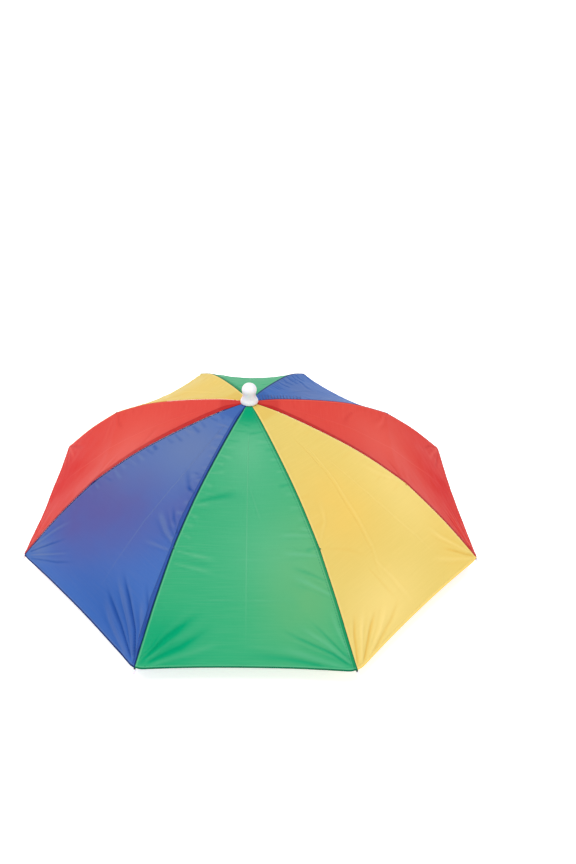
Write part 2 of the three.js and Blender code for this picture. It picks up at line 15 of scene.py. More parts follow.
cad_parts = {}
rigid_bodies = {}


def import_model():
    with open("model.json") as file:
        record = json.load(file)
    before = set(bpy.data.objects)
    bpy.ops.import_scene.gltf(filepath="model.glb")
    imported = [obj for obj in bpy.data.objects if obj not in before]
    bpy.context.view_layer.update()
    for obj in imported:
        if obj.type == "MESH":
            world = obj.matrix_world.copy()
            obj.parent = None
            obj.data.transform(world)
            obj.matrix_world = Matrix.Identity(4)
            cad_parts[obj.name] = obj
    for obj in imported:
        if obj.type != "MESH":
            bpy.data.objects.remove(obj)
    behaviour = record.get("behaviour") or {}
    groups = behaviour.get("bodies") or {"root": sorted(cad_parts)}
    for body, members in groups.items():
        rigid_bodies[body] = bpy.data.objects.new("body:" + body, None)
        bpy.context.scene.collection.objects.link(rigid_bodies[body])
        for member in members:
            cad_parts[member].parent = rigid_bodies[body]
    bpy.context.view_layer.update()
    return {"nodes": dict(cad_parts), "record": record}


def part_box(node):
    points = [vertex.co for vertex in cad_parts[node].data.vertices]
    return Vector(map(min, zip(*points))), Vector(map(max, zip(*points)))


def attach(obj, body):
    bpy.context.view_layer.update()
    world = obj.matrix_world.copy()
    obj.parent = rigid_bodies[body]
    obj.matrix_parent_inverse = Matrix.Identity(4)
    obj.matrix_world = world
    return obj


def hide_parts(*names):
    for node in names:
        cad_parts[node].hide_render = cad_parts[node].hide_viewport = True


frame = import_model()
print("nodes in the frame:", len(frame["nodes"]))

# %% [markdown]
# ## Measures
# The cloth's main sizes come from the frame. The hub's top gives the height of the cloth on the
# axis, and the front panel's corner gives the radius and height of the rim.

# %% Sizes taken from the frame
MM = 0.001
PANELS = 8
HALF_PANEL = math.pi / PANELS
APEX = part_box("hub")[1].z
front_low, front_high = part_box("panel_1")
TIP_RADIUS = math.hypot(front_high.x, front_low.y)
RIM = front_low.z
FOLD_SHARE = 200 / 300
FOLD_DROP_SHARE = 63.5 / 149
FOLD_RADIUS = TIP_RADIUS * FOLD_SHARE
FOLD_DROP = (APEX - RIM) * FOLD_DROP_SHARE
SHAFT_RADIUS = 4 * MM
GAP = 0.3 * MM
print(f"apex {APEX:.4f}, tip radius {TIP_RADIUS:.4f}, rim {RIM:.4f}")

# %% [markdown]
# The ribs follow two gentle curves that meet at the fold joint, and the seams lie on them. A curve
# object could hold such a line, but the cloth needs its place and direction at any length, so a few
# points are joined by a smooth formula and measured in small steps.

# %% The line of a seam
INNER_SEAM = ((0, 0), (0.19, 0.08), (0.5, 0.335), (0.75, 0.61), (1, 1))
OUTER_SEAM = ((0, 0), (0.5, 0.46), (1, 1))
SEAM_SAMPLES = 400


def smooth_line(points):
    """A smooth line through points, as an array with SEAM_SAMPLES steps between its ends."""
    points = np.array([points[0], *points, points[-1]], float)
    spans = len(points) - 3
    where = np.linspace(0, spans, SEAM_SAMPLES + 1)
    start = np.minimum(where.astype(int), spans - 1)
    t = (where - start)[:, None]
    a, b, c, d = (points[start + i] for i in range(4))
    lean_in, lean_out = (c - a) / 2, (d - b) / 2
    return (
        (2 * t**3 - 3 * t**2 + 1) * b
        + (t**3 - 2 * t**2 + t) * lean_in
        + (3 * t**2 - 2 * t**3) * c
        + (t**3 - t**2) * lean_out
    )


inner = smooth_line(INNER_SEAM) * (FOLD_RADIUS, -FOLD_DROP)
outer = smooth_line(OUTER_SEAM) * (TIP_RADIUS - FOLD_RADIUS, -(APEX - RIM - FOLD_DROP))
seam = np.vstack([inner, outer[1:] + inner[-1]])
seam_steps = np.linalg.norm(np.diff(seam, axis=0), axis=1)
seam_length = np.concatenate([[0], np.cumsum(seam_steps)])
FOLD_AT = seam_length[SEAM_SAMPLES]
SEAM_END = seam_length[-1]
seam_lean = np.gradient(seam, seam_length, axis=0)
seam_lean /= np.linalg.norm(seam_lean, axis=1)[:, None]


def seam_at(length):
    """Radius, height over the apex and outward normal of the seam line, at lengths along it."""
    place = [np.interp(length, seam_length, seam[:, i]) for i in range(2)]
    lean = [np.interp(length, seam_length, seam_lean[:, i]) for i in range(2)]
    return place[0], place[1], -lean[1], lean[0]


print(f"seam {SEAM_END / MM:.1f} mm long, folding at {FOLD_AT / MM:.1f} mm")

# %% [markdown]
# ## Camera
# The hat is seen from the front and well above. The camera is placed by its angle and distance
# from the middle of the rim, which were measured on the hat's eight corners.

# %% Camera
FRAME_SIDE = 864
FOCAL = 624.4
AZIMUTH = math.radians(1.587)
ELEVATION = math.radians(40.044)
ROLL = math.radians(-0.752)
DISTANCE = 2.8347 * TIP_RADIUS
AXIS_LEFT = 37.4
AXIS_DOWN = 64.53
SENSOR = 36.0

forward = Vector(
    (
        -math.sin(AZIMUTH) * math.cos(ELEVATION),
        math.cos(AZIMUTH) * math.cos(ELEVATION),
        -math.sin(ELEVATION),
    )
)
camera = bpy.data.objects.new("camera", bpy.data.cameras.new("camera"))
bpy.context.scene.collection.objects.link(camera)
camera.location = Vector((0, 0, RIM)) - forward * DISTANCE
turn = forward.to_track_quat("-Z", "Y").to_matrix()
camera.rotation_euler = (turn @ Matrix.Rotation(ROLL, 3, "Z")).to_euler()
camera.data.sensor_width = SENSOR
camera.data.lens = FOCAL / FRAME_SIDE * SENSOR
camera.data.shift_x = AXIS_LEFT / FRAME_SIDE
camera.data.shift_y = AXIS_DOWN / FRAME_SIDE
bpy.context.scene.camera = camera
print("camera at", tuple(round(x, 3) for x in camera.location))

# %% [markdown]
# ## Materials
# A material is a small graph of nodes. Written as calls, a sum takes four lines, so the class
# below wraps a socket and lets plain arithmetic add the Math nodes. Its kit makes any other node
# from a type, its settings and its inputs.

# %% A shorthand for shader nodes
# Sockets that are known by their number: the Object output, and a Mix node's colour ones
OBJECT_PLACE = 3
MIX_COLOUR_INPUTS = (0, 6, 7)
MIX_COLOUR_OUTPUT = 2


class Value:
    """A number or colour that comes out of a node."""

    def __init__(self, kit, socket):
        self.kit = kit
        self.socket = socket

    def math(self, operation, *others):
        return self.kit.node("Math", self, *others, settings={"operation": operation})

    def __add__(self, other):
        return self.math("ADD", other)

    def __rsub__(self, other):
        return self.kit.node("Math", other, self, settings={"operation": "SUBTRACT"})

    def __mul__(self, other):
        return self.math("MULTIPLY", other)

    __radd__ = __add__
    __rmul__ = __mul__


class Kit:
    """Makes the nodes of one material."""

    def __init__(self, name):
        self.material = bpy.data.materials.new(name)
        self.material.use_nodes = True
        self.tree = self.material.node_tree
        self.tree.nodes.clear()

    def fill(self, socket, value):
        if isinstance(value, Value):
            self.tree.links.new(value.socket, socket)
        else:
            socket.default_value = value

    def node(self, kind, *inputs, out=0, settings=(), **named):
        """A node of a type, its settings made first, then its inputs in order or by name."""
        made = self.tree.nodes.new("ShaderNode" + kind)
        for key, value in dict(settings).items():
            setattr(made, key, value)
        for index, value in enumerate(inputs):
            self.fill(made.inputs[index], value)
        for key, value in named.items():
            self.fill(made.inputs[key.replace("_", " ")], value)
        return Value(self, made.outputs[out])

    def place(self):
        """Where a point lies on its own piece."""
        return self.node("TexCoord", out=OBJECT_PLACE)

    def smooth(self, value, low, high, to_low=0.0, to_high=1.0):
        """Turns a value into a soft step between two numbers."""
        settings = {"interpolation_type": "SMOOTHSTEP"}
        return self.node("MapRange", value, low, high, to_low, to_high, settings=settings)

    def stripe(self, value, start, full, fade, end):
        """A stripe with soft edges, over values from start to end."""
        return self.smooth(value, start, full) * (1 - self.smooth(value, fade, end))

    def noise(self, vector, scale, detail=2.0):
        return self.node("TexNoise", Vector=vector, Scale=scale, Detail=detail)

    def stretched_noise(self, vector, stretch, detail):
        """Noise whose grains have their own number in a metre along each axis."""
        return self.noise(self.node("Mapping", Vector=vector, Scale=stretch), 1, detail)

    def blend(self, factor, a, b):
        """Mixes two colours."""
        made = self.tree.nodes.new("ShaderNodeMix")
        made.data_type = "RGBA"
        for index, value in zip(MIX_COLOUR_INPUTS, (factor, a, b)):
            self.fill(made.inputs[index], value)
        return Value(self, made.outputs[MIX_COLOUR_OUTPUT])

    def skin(self, colour, rough, relief, strength, depth, **named):
        """The main shader, with a bump whose full height is depth in metres."""
        normal = self.node("Bump", Strength=strength, Distance=depth, Height=relief)
        given = {"Base Color": colour, "Roughness": rough, "Normal": normal}
        return self.node("BsdfPrincipled", **given, **named)

    def finish(self, shader):
        output = self.tree.nodes.new("ShaderNodeOutputMaterial")
        self.tree.links.new(shader.socket, output.inputs["Surface"])
        return self.material


print("kit ready:", Kit.__name__)

# %% [markdown]
# ## Cloth panels
# Each panel is a gore of thin nylon, sewn to its neighbours over the ribs and stretched between
# them. It could be a cloth simulation, but the hat's cloth is tight, and what shows are folds that
# always fan out from the corners and the fold joints. So a grid is laid over each gap between two
# ribs, its chord is lowered by the sag, and short tables raise the folds.

# %% The grid over one panel
EDGE_STEPS = np.array([0, 0.35, 0.8, 1.6, 2.6, 3.6, 4.3, 4.9, 5.6, 7.0]) * MM
HEM_STEPS = np.array([0, 0.5, 1.2, 2.0, 2.7, 3.4, 4.4, 5.6]) * MM
EDGE_SHARE = 0.6
ROW_CROWDING = 0.25
CLOTH_START = (SHAFT_RADIUS + GAP) / math.cos(HALF_PANEL)


class Cut:
    """The grid over one panel, in metres across from its middle and along from the hub."""

    def __init__(self, rows, columns):
        start = np.interp(CLOTH_START, seam[:, 0], seam_length)
        end = SEAM_END - HEM_STEPS[-1]
        share = np.linspace(0, 1, rows + 1)
        share -= ROW_CROWDING * np.sin(2 * math.pi * share) / (2 * math.pi)
        self.lengths = np.concatenate([start + share * (end - start), SEAM_END - HEM_STEPS[-2::-1]])
        self.half_chord = seam_at(self.lengths)[0] * math.sin(HALF_PANEL)
        self.narrowing = np.minimum(1, EDGE_SHARE * self.half_chord / EDGE_STEPS[-1])[:, None]
        right = [self.places(*pair, columns) for pair in zip(self.half_chord, self.narrowing[:, 0])]
        right = np.array(right)
        self.across = np.hstack([-right[:, :0:-1], right])
        self.along = np.repeat(self.lengths[:, None], self.across.shape[1], axis=1)
        self.to_right = self.half_chord[:, None] - self.across
        self.to_left = self.half_chord[:, None] + self.across
        self.nearest = np.minimum(self.to_left, self.to_right)
        self.belly = 1 - (self.across / self.half_chord[:, None]) ** 2

    def places(self, half_chord, narrowing, columns):
        """Where the columns cross the right half of a row, from its middle to the seam."""
        far = half_chord - EDGE_STEPS[::-1] * narrowing
        return np.concatenate([np.linspace(0, far[0], columns)[:-1], far])


fine_cut = Cut(rows=200, columns=72)
plain_cut = Cut(rows=120, columns=40)
print("fine grid", fine_cut.across.shape, "plain grid", plain_cut.across.shape)

# %% [markdown]
# The folds come next. Each row of a table is one fold: its height and width in millimetres, and
# the points that it runs through, across from the panel's middle and along from the hub. Folds run
# from the corners, where the cloth is pulled, and from the fold joints of the ribs.

# %% Folds read from the photograph
FRONT_FOLDS = (
    (-1.2, 5.0, (-111, 340), (-83, 312), (-58, 292), (-40, 280)),
    (0.8, 3.4, (-108, 336), (-78, 316), (-52, 302)),
    (-1.0, 4.6, (-106, 339), (-67, 321), (-30, 296)),
    (0.8, 5.0, (-100, 340), (-60, 328), (-20, 314)),
    (-0.6, 2.0, (-112, 335), (-96, 318), (-84, 300)),
    (-1.0, 2.8, (111, 340), (90, 326), (56, 311), (30, 298)),
    (0.9, 3.6, (110, 336), (82, 314), (50, 294)),
    (-0.65, 2.2, (109, 334), (77, 301), (60, 286)),
    (0.7, 3.0, (108, 330), (92, 294), (86, 274)),
    (0.9, 5.0, (105, 340), (70, 331), (30, 319)),
    (-0.7, 6.0, (84, 340), (40, 333), (-10, 328)),
    (-0.5, 2.0, (111, 334), (101, 300), (93, 282)),
    (0.8, 3.0, (-76, 215), (-42, 223), (-28, 226)),
    (-0.5, 3.0, (-76, 224), (-44, 230), (-30, 232)),
    (0.7, 3.0, (-78, 229), (-45, 237), (-30, 241)),
    (0.7, 3.0, (75, 198), (48, 196), (28, 196)),
    (0.7, 3.4, (78, 221), (50, 218), (32, 217)),
    (-0.6, 3.4, (84, 248), (62, 238), (44, 232)),
    (0.8, 4.0, (90, 264), (64, 250), (44, 241)),
    (-0.7, 5.0, (-54, 157), (-28, 148), (-4, 141)),
    (0.4, 1.4, (3, 138), (10, 162), (16, 184)),
    (0.3, 1.4, (-66, 222), (0, 224), (64, 221)),
    (0.3, 1.4, (-80, 268), (0, 270), (80, 267)),
)
RIGHT_FOLDS = (
    (-1.3, 3.0, (-112, 341), (-95, 310), (-79, 290)),
    (1.1, 4.0, (-107, 340), (-86, 314), (-66, 292)),
    (-1.4, 3.4, (-103, 341), (-78, 322), (-52, 304)),
    (1.0, 4.0, (-96, 341), (-64, 327), (-34, 308)),
    (-0.7, 3.4, (-86, 341), (-44, 328), (-14, 312)),
    (0.55, 1.5, (12, 100), (15, 134), (30, 210), (51, 277), (68, 337)),
    (-0.5, 1.6, (1, 70), (-2, 155), (-9, 202), (-15, 249), (-36, 303)),
    (0.6, 1.8, (5, 85), (2, 155), (-5, 202), (-11, 249), (-30, 303)),
    (0.5, 3.0, (-20, 258), (-12, 290), (-4, 336)),
    (-0.4, 3.0, (-34, 262), (-28, 290), (-22, 318)),
    (-1.2, 2.6, (114, 341), (88, 316), (70, 300)),
    (1.0, 3.0, (112, 336), (79, 290), (64, 264)),
    (0.7, 4.0, (110, 341), (74, 320), (48, 303)),
    (0.4, 3.0, (-72, 207), (-46, 190), (-30, 160)),
    (-0.35, 3.0, (-75, 213), (-44, 232), (-22, 256)),
    (0.4, 3.0, (74, 208), (52, 176), (42, 150)),
)
LEFT_FOLDS = (
    (-2.3, 2.8, (112, 339), (89, 311), (61, 290), (30, 268)),
    (1.8, 3.4, (109, 338), (80, 312), (48, 290), (26, 276)),
    (-2.0, 3.0, (106, 339), (68, 319), (37, 305), (22, 296)),
    (1.3, 5.0, (100, 341), (62, 327), (26, 308)),
    (1.5, 4.0, (111, 332), (96, 302), (74, 276)),
    (-1.1, 2.8, (111, 326), (92, 283), (66, 258)),
    (1.0, 2.4, (-112, 333), (-85, 284), (-70, 262)),
    (-1.1, 2.0, (-111, 337), (-74, 297), (-62, 284)),
    (0.9, 2.0, (-108, 339), (-70, 314), (-44, 296)),
    (-0.8, 2.2, (-104, 341), (-60, 320), (-30, 300)),
    (2.0, 4.4, (76, 209), (52, 202), (22, 187)),
    (-1.2, 3.0, (74, 200), (50, 186), (34, 172)),
    (0.9, 3.0, (77, 216), (56, 222), (30, 228)),
    (-0.6, 5.0, (44, 150), (30, 140), (12, 124)),
    (-0.5, 3.0, (52, 122), (40, 128), (28, 140)),
)
OTHER_FOLDS = (
    (-1.5, 3.2, (112, 339), (88, 311), (58, 288)),
    (1.3, 3.8, (108, 339), (74, 316), (40, 296)),
    (-1.2, 3.6, (103, 340), (64, 325), (28, 308)),
    (-1.6, 3.4, (-111, 338), (-80, 306), (-58, 284)),
    (1.4, 3.8, (-108, 338), (-72, 316), (-44, 300)),
    (-1.1, 3.8, (-102, 340), (-58, 326), (-26, 312)),
    (1.4, 4.4, (76, 209), (50, 200), (24, 184)),
    (-0.9, 4.0, (-76, 210), (-50, 204), (-26, 190)),
    (0.8, 4.0, (-76, 218), (-50, 226), (-24, 230)),
    (-0.7, 5.0, (40, 150), (20, 138), (-4, 130)),
)
BACK_FOLDS = OTHER_FOLDS + (
    (-1.7, 2.6, (34, 92), (22, 92), (10, 98)),
    (-1.9, 2.6, (41, 110), (28, 108), (16, 114)),
    (-1.9, 2.6, (48, 128), (34, 125), (20, 130)),
    (-1.7, 2.6, (54, 146), (40, 142), (26, 146)),
    (-1.4, 2.6, (60, 164), (46, 159), (32, 162)),
    (-1.2, 2.4, (27, 75), (16, 76), (6, 80)),
)
FOLDS = {1: FRONT_FOLDS, 2: RIGHT_FOLDS, 4: BACK_FOLDS, 8: LEFT_FOLDS}
FOLD_STRENGTH = {2: 0.8, 3: 0.5, 7: 0.4}
# The line down a panel's middle, where the hat was folded away
CENTRE_CREASES = {2: (), 8: ((0.5, 1.1, (5, 32), (18, 143), (17, 300), (8, 341)),)}
OTHER_CENTRE_CREASE = ((0.35, 1.1, (0, 45), (0, 341)),)
print("folds at the front:", len(FRONT_FOLDS), "right:", len(RIGHT_FOLDS), "left:", len(LEFT_FOLDS))

# %% [markdown]
# A fold in thin cloth is a sharp ridge that starts narrow, widens, and runs out. Its height at a
# point of the grid depends on how far the point is from the fold's line and how far along it lies,
# so a formula raises it, with a shallow trough at its foot.

# %% Raise a fold
FADE_IN = 0.12
FADE_OUT = 0.45
START_WIDTH = 0.35
WIDENING = 0.55
TROUGH = 0.3
TROUGH_PLACE = 1.9
CREASE = 1.4


def ease(value):
    value = np.clip(value, 0, 1)
    return value * value * (3 - 2 * value)


def bump(distance, width, power=2):
    return np.exp(-(np.abs(distance / width) ** power))


def fold_height(cut, height, width, *points):
    """The ridge or valley that runs through points, fading at both ends."""
    points = np.array(points, float) * MM
    steps = np.linalg.norm(np.diff(points, axis=0), axis=1)
    passed = np.concatenate([[0], np.cumsum(steps)]) / steps.sum()
    nearest = np.full(cut.across.shape, np.inf)
    place = np.zeros(cut.across.shape)
    for start, end, length, low, high in zip(points, points[1:], steps, passed, passed[1:]):
        lean = (end - start) / length
        ahead = (cut.across - start[0]) * lean[0] + (cut.along - start[1]) * lean[1]
        aside = (cut.across - start[0]) * lean[1] - (cut.along - start[1]) * lean[0]
        kept = np.clip(ahead, 0, length)
        distance = np.hypot(aside, ahead - kept)
        closer = distance < nearest
        nearest = np.where(closer, distance, nearest)
        place = np.where(closer, low + (high - low) * kept / length, place)
    spread = width * MM * (START_WIDTH + WIDENING * place)
    fade = ease(place / FADE_IN) * ease((1 - place) / FADE_OUT)
    trough = TROUGH * bump(nearest - TROUGH_PLACE * spread, spread)
    return height * MM * fade * (bump(nearest, spread, CREASE) - trough)


def folds_height(cut, rows):
    """The folds of a table, added up."""
    total = np.zeros_like(cut.across)
    for row in rows:
        total += fold_height(cut, *row)
    return total


crease = folds_height(plain_cut, OTHER_CENTRE_CREASE)
print(f"a centre crease rises {crease.max() / MM:.2f} mm")

# %% [markdown]
# Sewing thread gathers thin cloth, so short puckers leave the seams on both sides. No two are
# alike, and nobody could read them all off a picture, so they are drawn from a seeded generator,
# with ranges that suit the cloth. They come out the same in every run.

# %% Puckers along the seams
PUCKER_STRENGTH = {2: 0.4, 3: 0.7, 8: 1.5}
OUTER_PUCKER_STRENGTH = 0.4 * 0.7
OUTER_PUCKER_REACH = 0.55
# All in mm
PUCKERS_FROM = 40.0
PUCKERS_BEFORE_END = 15
PUCKER_INSET = 2
PUCKER_REACH = (10, 24)
PUCKER_HEIGHT = (0.25, 0.7)
PUCKER_LEAN = (-4, 7)
PUCKER_WIDTH = (2.4, 4.2)
PUCKER_STEP = (9, 19)


def puckers(panel, cut):
    """Short folds that leave both seams, each with its own height, length and lean."""
    draw = np.random.default_rng(panel)
    rows = []
    for side in (-1, 1):
        at = PUCKERS_FROM
        while at < SEAM_END / MM - PUCKERS_BEFORE_END:
            edge = np.interp(at * MM, cut.lengths, cut.half_chord) / MM - PUCKER_INSET
            reach = draw.uniform(*PUCKER_REACH)
            height = draw.uniform(*PUCKER_HEIGHT) * draw.choice((-1, 1))
            if at < FOLD_AT / MM:
                height *= PUCKER_STRENGTH.get(panel, 1)
            else:
                reach *= OUTER_PUCKER_REACH
                height *= OUTER_PUCKER_STRENGTH
            end = (side * (edge - reach), at + draw.uniform(*PUCKER_LEAN))
            rows.append((height, draw.uniform(*PUCKER_WIDTH), (side * edge, at), end))
            at += draw.uniform(*PUCKER_STEP)
    return rows


print("puckers in the front panel:", len(puckers(1, plain_cut)))

# %% [markdown]
# Under the folds the cloth sags between its ribs, most at the fold joints, and never lies quite
# even. Beside some seams it is doubled, and it dips where two panels meet, is pinched at the fold
# joints and is thicker at the hem. These all follow simple rules, so each is one term of a sum.

# %% The whole relief of a panel
SAG = 7 * MM
SAG_ROWS = (
    (0, 0), (0.06, 0), (0.14, 0.12), (0.22, 0.3), (0.31, 0.48), (0.4, 0.68), (0.48, 0.86),
    (0.56, 0.97), (0.62, 1), (0.66, 0.97), (0.74, 0.84), (0.81, 0.64), (0.88, 0.45),
    (0.95, 0.3), (1, 0.22),
)
STRIP_WIDTH = 4.8 * MM
STRIP_HEIGHT = 0.35 * MM
SEAM_DIP = 0.35 * MM
SEAM_DIP_WIDTH = 0.8 * MM
PINCH = 1.0 * MM
PINCH_WIDTH = 6 * MM
PINCH_EDGE = 1.5 * MM
EDGE_SOFTNESS = 0.6 * MM
HEM_WIDTH = 3 * MM
HEM_HEIGHT = 0.3 * MM
DOUBLED_SIDE = {1: "right", 3: "left", 5: "right", 6: "right", 7: "right", 8: "right"}
# How wide the strip shows at lengths along the seam, both in mm
STRIP_WIDTHS = {
    1: ((0, 2.2), (200, 2.6), (343, 3.2)),
    3: ((0, 6), (60, 9), (343, 9)),
    7: ((0, 6), (60, 12), (220, 12), (343, 8)),
    8: (
        (0, 4.6), (122, 4.2), (160, 6), (184, 7.5), (208, 4.2), (245, 6), (273, 7.5), (312, 5),
        (343, 4.5),
    ),
}
# Height, length of a wave, and the first seed, for broad waves and for ripples
WAVES = ((1.2 * MM, 95 * MM, 0), (0.25 * MM, 22 * MM, 40))
WAVE_PARTS = 7
WAVE_CLEARANCE = 14 * MM
WAVE_RISE = 3
FOLD_CLEARANCE = 2.5 * MM
FOLDS_FROM = 0.08
FOLDS_RISE = 12
sag_line = smooth_line(SAG_ROWS)


def wander(cut, seed, wave):
    """A smooth waviness over the grid, the same in every run."""
    draw = np.random.default_rng(seed)
    total = np.zeros_like(cut.across)
    for _ in range(WAVE_PARTS):
        heading, phase = draw.uniform(0, 2 * math.pi, 2)
        step = 2 * math.pi / (wave * draw.uniform(0.7, 1.5))
        run = cut.across * math.cos(heading) + cut.along * math.sin(heading)
        total += np.sin(step * run + phase)
    return total / WAVE_PARTS


def strip_distance(panel, cut):
    """Distance to the seam that has the doubled strip, which is far away on a panel without one."""
    side = DOUBLED_SIDE.get(panel)
    if side is None:
        return np.ones_like(cut.across)
    distance = cut.to_right if side == "right" else cut.to_left
    if panel not in STRIP_WIDTHS:
        return distance
    lengths, widths = np.array(STRIP_WIDTHS[panel]).T * MM
    return distance * STRIP_WIDTH / np.interp(cut.along, lengths, widths)


def folds_of(panel, cut):
    """All the folds of a panel added up, and a second sum for the centre crease, whose ridge also
    gets a painted highlight.
    """
    rows = [*FOLDS.get(panel, OTHER_FOLDS), *puckers(panel, cut)]
    total = FOLD_STRENGTH.get(panel, 1) * folds_height(cut, rows)
    away = ease(cut.nearest / FOLD_CLEARANCE)
    away = away * ease((cut.along / SEAM_END - FOLDS_FROM) * FOLDS_RISE)
    return total * away, folds_height(cut, CENTRE_CREASES.get(panel, OTHER_CENTRE_CREASE))


def relief(panel, cut, folds, crease_rise):
    """Height of a panel's cloth over the chord between its seams, at each point of the grid."""
    share = cut.along / SEAM_END
    away = ease(cut.nearest / WAVE_CLEARANCE)
    total = -np.interp(share, sag_line[:, 0], sag_line[:, 1]) * SAG * cut.belly + folds + crease_rise
    (wave, wave_length, wave_seed), (ripple, ripple_length, ripple_seed) = WAVES
    total += wave * away * wander(cut, wave_seed + panel, wave_length) * ease(share * WAVE_RISE)
    total += ripple * away * wander(cut, ripple_seed + panel, ripple_length)
    for gap in (cut.to_left, cut.to_right):
        from_joint = np.hypot(gap, cut.along - FOLD_AT)
        total -= PINCH * bump(from_joint, PINCH_WIDTH) * ease(gap / PINCH_EDGE)
        total -= SEAM_DIP * np.clip(1 - gap / cut.narrowing / SEAM_DIP_WIDTH, 0, 1) ** 2
    on_strip = STRIP_WIDTH - strip_distance(panel, cut) / cut.narrowing
    on_hem = cut.along - SEAM_END + HEM_WIDTH
    total += STRIP_HEIGHT * ease(on_strip / EDGE_SOFTNESS + 0.5)
    total += HEM_HEIGHT * ease(on_hem / EDGE_SOFTNESS + 0.5)
    return total


print("sag at the fold", SAG / MM, "mm")

# %% [markdown]
# ## Pieces
# Operators act on whatever is selected, so each step starts by saying what that is. Sheets all
# start as a grid primitive whose points are moved onto rows of places.

# %% Helpers for every piece
def deselect():
    if bpy.context.object and bpy.context.object.mode != "OBJECT":
        bpy.ops.object.mode_set(mode="OBJECT")
    bpy.ops.object.select_all(action="DESELECT")


def pick(piece):
    """Makes a piece the only one that is selected."""
    deselect()
    piece.select_set(True)
    bpy.context.view_layer.objects.active = piece


def just_made(name):
    """Names the piece that an operator has just made."""
    piece = bpy.context.object
    piece.name = piece.data.name = name
    return piece


def edit_all():
    """Goes into edit mode with every point selected."""
    bpy.ops.object.mode_set(mode="EDIT")
    bpy.ops.mesh.select_all(action="SELECT")


def shade(degrees=50):
    """Smooth shading, except at edges that are sharper than this."""
    bpy.ops.object.shade_smooth_by_angle(angle=math.radians(degrees))


def apply_modifier(piece, kind, **settings):
    pick(piece)
    modifier = piece.modifiers.new(kind.lower(), kind)
    for key, value in settings.items():
        setattr(modifier, key, value)
    bpy.ops.object.modifier_apply(modifier=modifier.name)


def settle(piece, slot, *nodes):
    """Puts a finished piece's place in its mesh, hangs it on the root body and hides the frame's
    nodes that it replaces.
    """
    pick(piece)
    bpy.ops.object.transform_apply(location=True, rotation=True, scale=True)
    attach(piece, "root")
    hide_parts(*nodes)


def dress(piece, finish, slot, *nodes):
    """Gives a piece its finish and settles it."""
    piece.data.materials.append(finish)
    settle(piece, slot, *nodes)


def shaped_grid(name, places):
    """A flat grid pulled into the shape that rows of points describe, with each vertex's row and
    column."""
    rows, columns = places.shape[:2]
    deselect()
    bpy.ops.mesh.primitive_grid_add(x_subdivisions=columns - 1, y_subdivisions=rows - 1, size=2)
    piece = just_made(name)
    flat = np.zeros(len(piece.data.vertices) * 3)
    piece.data.vertices.foreach_get("co", flat)
    column = np.rint((flat[0::3] + 1) / 2 * (columns - 1)).astype(int)
    row = np.rint((1 - flat[1::3]) / 2 * (rows - 1)).astype(int)
    piece.data.vertices.foreach_set("co", places[row, column].ravel())
    piece.data.uv_layers.remove(piece.data.uv_layers[0])
    piece.data.update()
    return piece, row, column


def add_map(piece, name, pair, row, column):
    """A UV map from two arrays over the piece's grid."""
    corner = np.zeros(len(piece.data.loops), int)
    piece.data.loops.foreach_get("vertex_index", corner)
    spread = np.stack(np.broadcast_arrays(*pair), axis=-1)[row, column][corner]
    piece.data.uv_layers.new(name=name).uv.foreach_set("vector", spread.ravel())


def join_points(piece, within=0.005 * MM):
    """Merges points that lie together, such as a ring's first and last columns."""
    pick(piece)
    edit_all()
    bpy.ops.mesh.remove_doubles(threshold=within)
    bpy.ops.object.mode_set(mode="OBJECT")


print("helpers ready")

# %% [markdown]
# Light falls unevenly over the nylon, and that is painted into its colour: a painted highlight where
# the cloth is stretched over air and on the ridges of folds and the centre crease, painted shade in
# the valleys of folds and round the apex, and a painted tint of the light that the panels round it
# cast. (Where the cloth lies double it is deeper in its own colour, which the seams' finish gives.)
# These soft patches are listed for each panel and kept as a colour attribute, whose red is the
# painted highlight, green the painted shade and blue the painted tint of light.

# %% Painted light and shade on the nylon
# Painted highlight, painted shade and a painted tint of light: the red, green and blue of the
# attribute
PAINTED_HIGHLIGHT, PAINTED_SHADE, PAINTED_LIGHT_TINT = 0, 1, 2
# The fold depth for full painted highlight on a ridge and full painted shade in a valley, then the
# crease height for its full painted highlight
FOLD_SHADING_DEPTH = 1.6 * MM
CREASE_HIGHLIGHT_DEPTH = 0.5 * MM
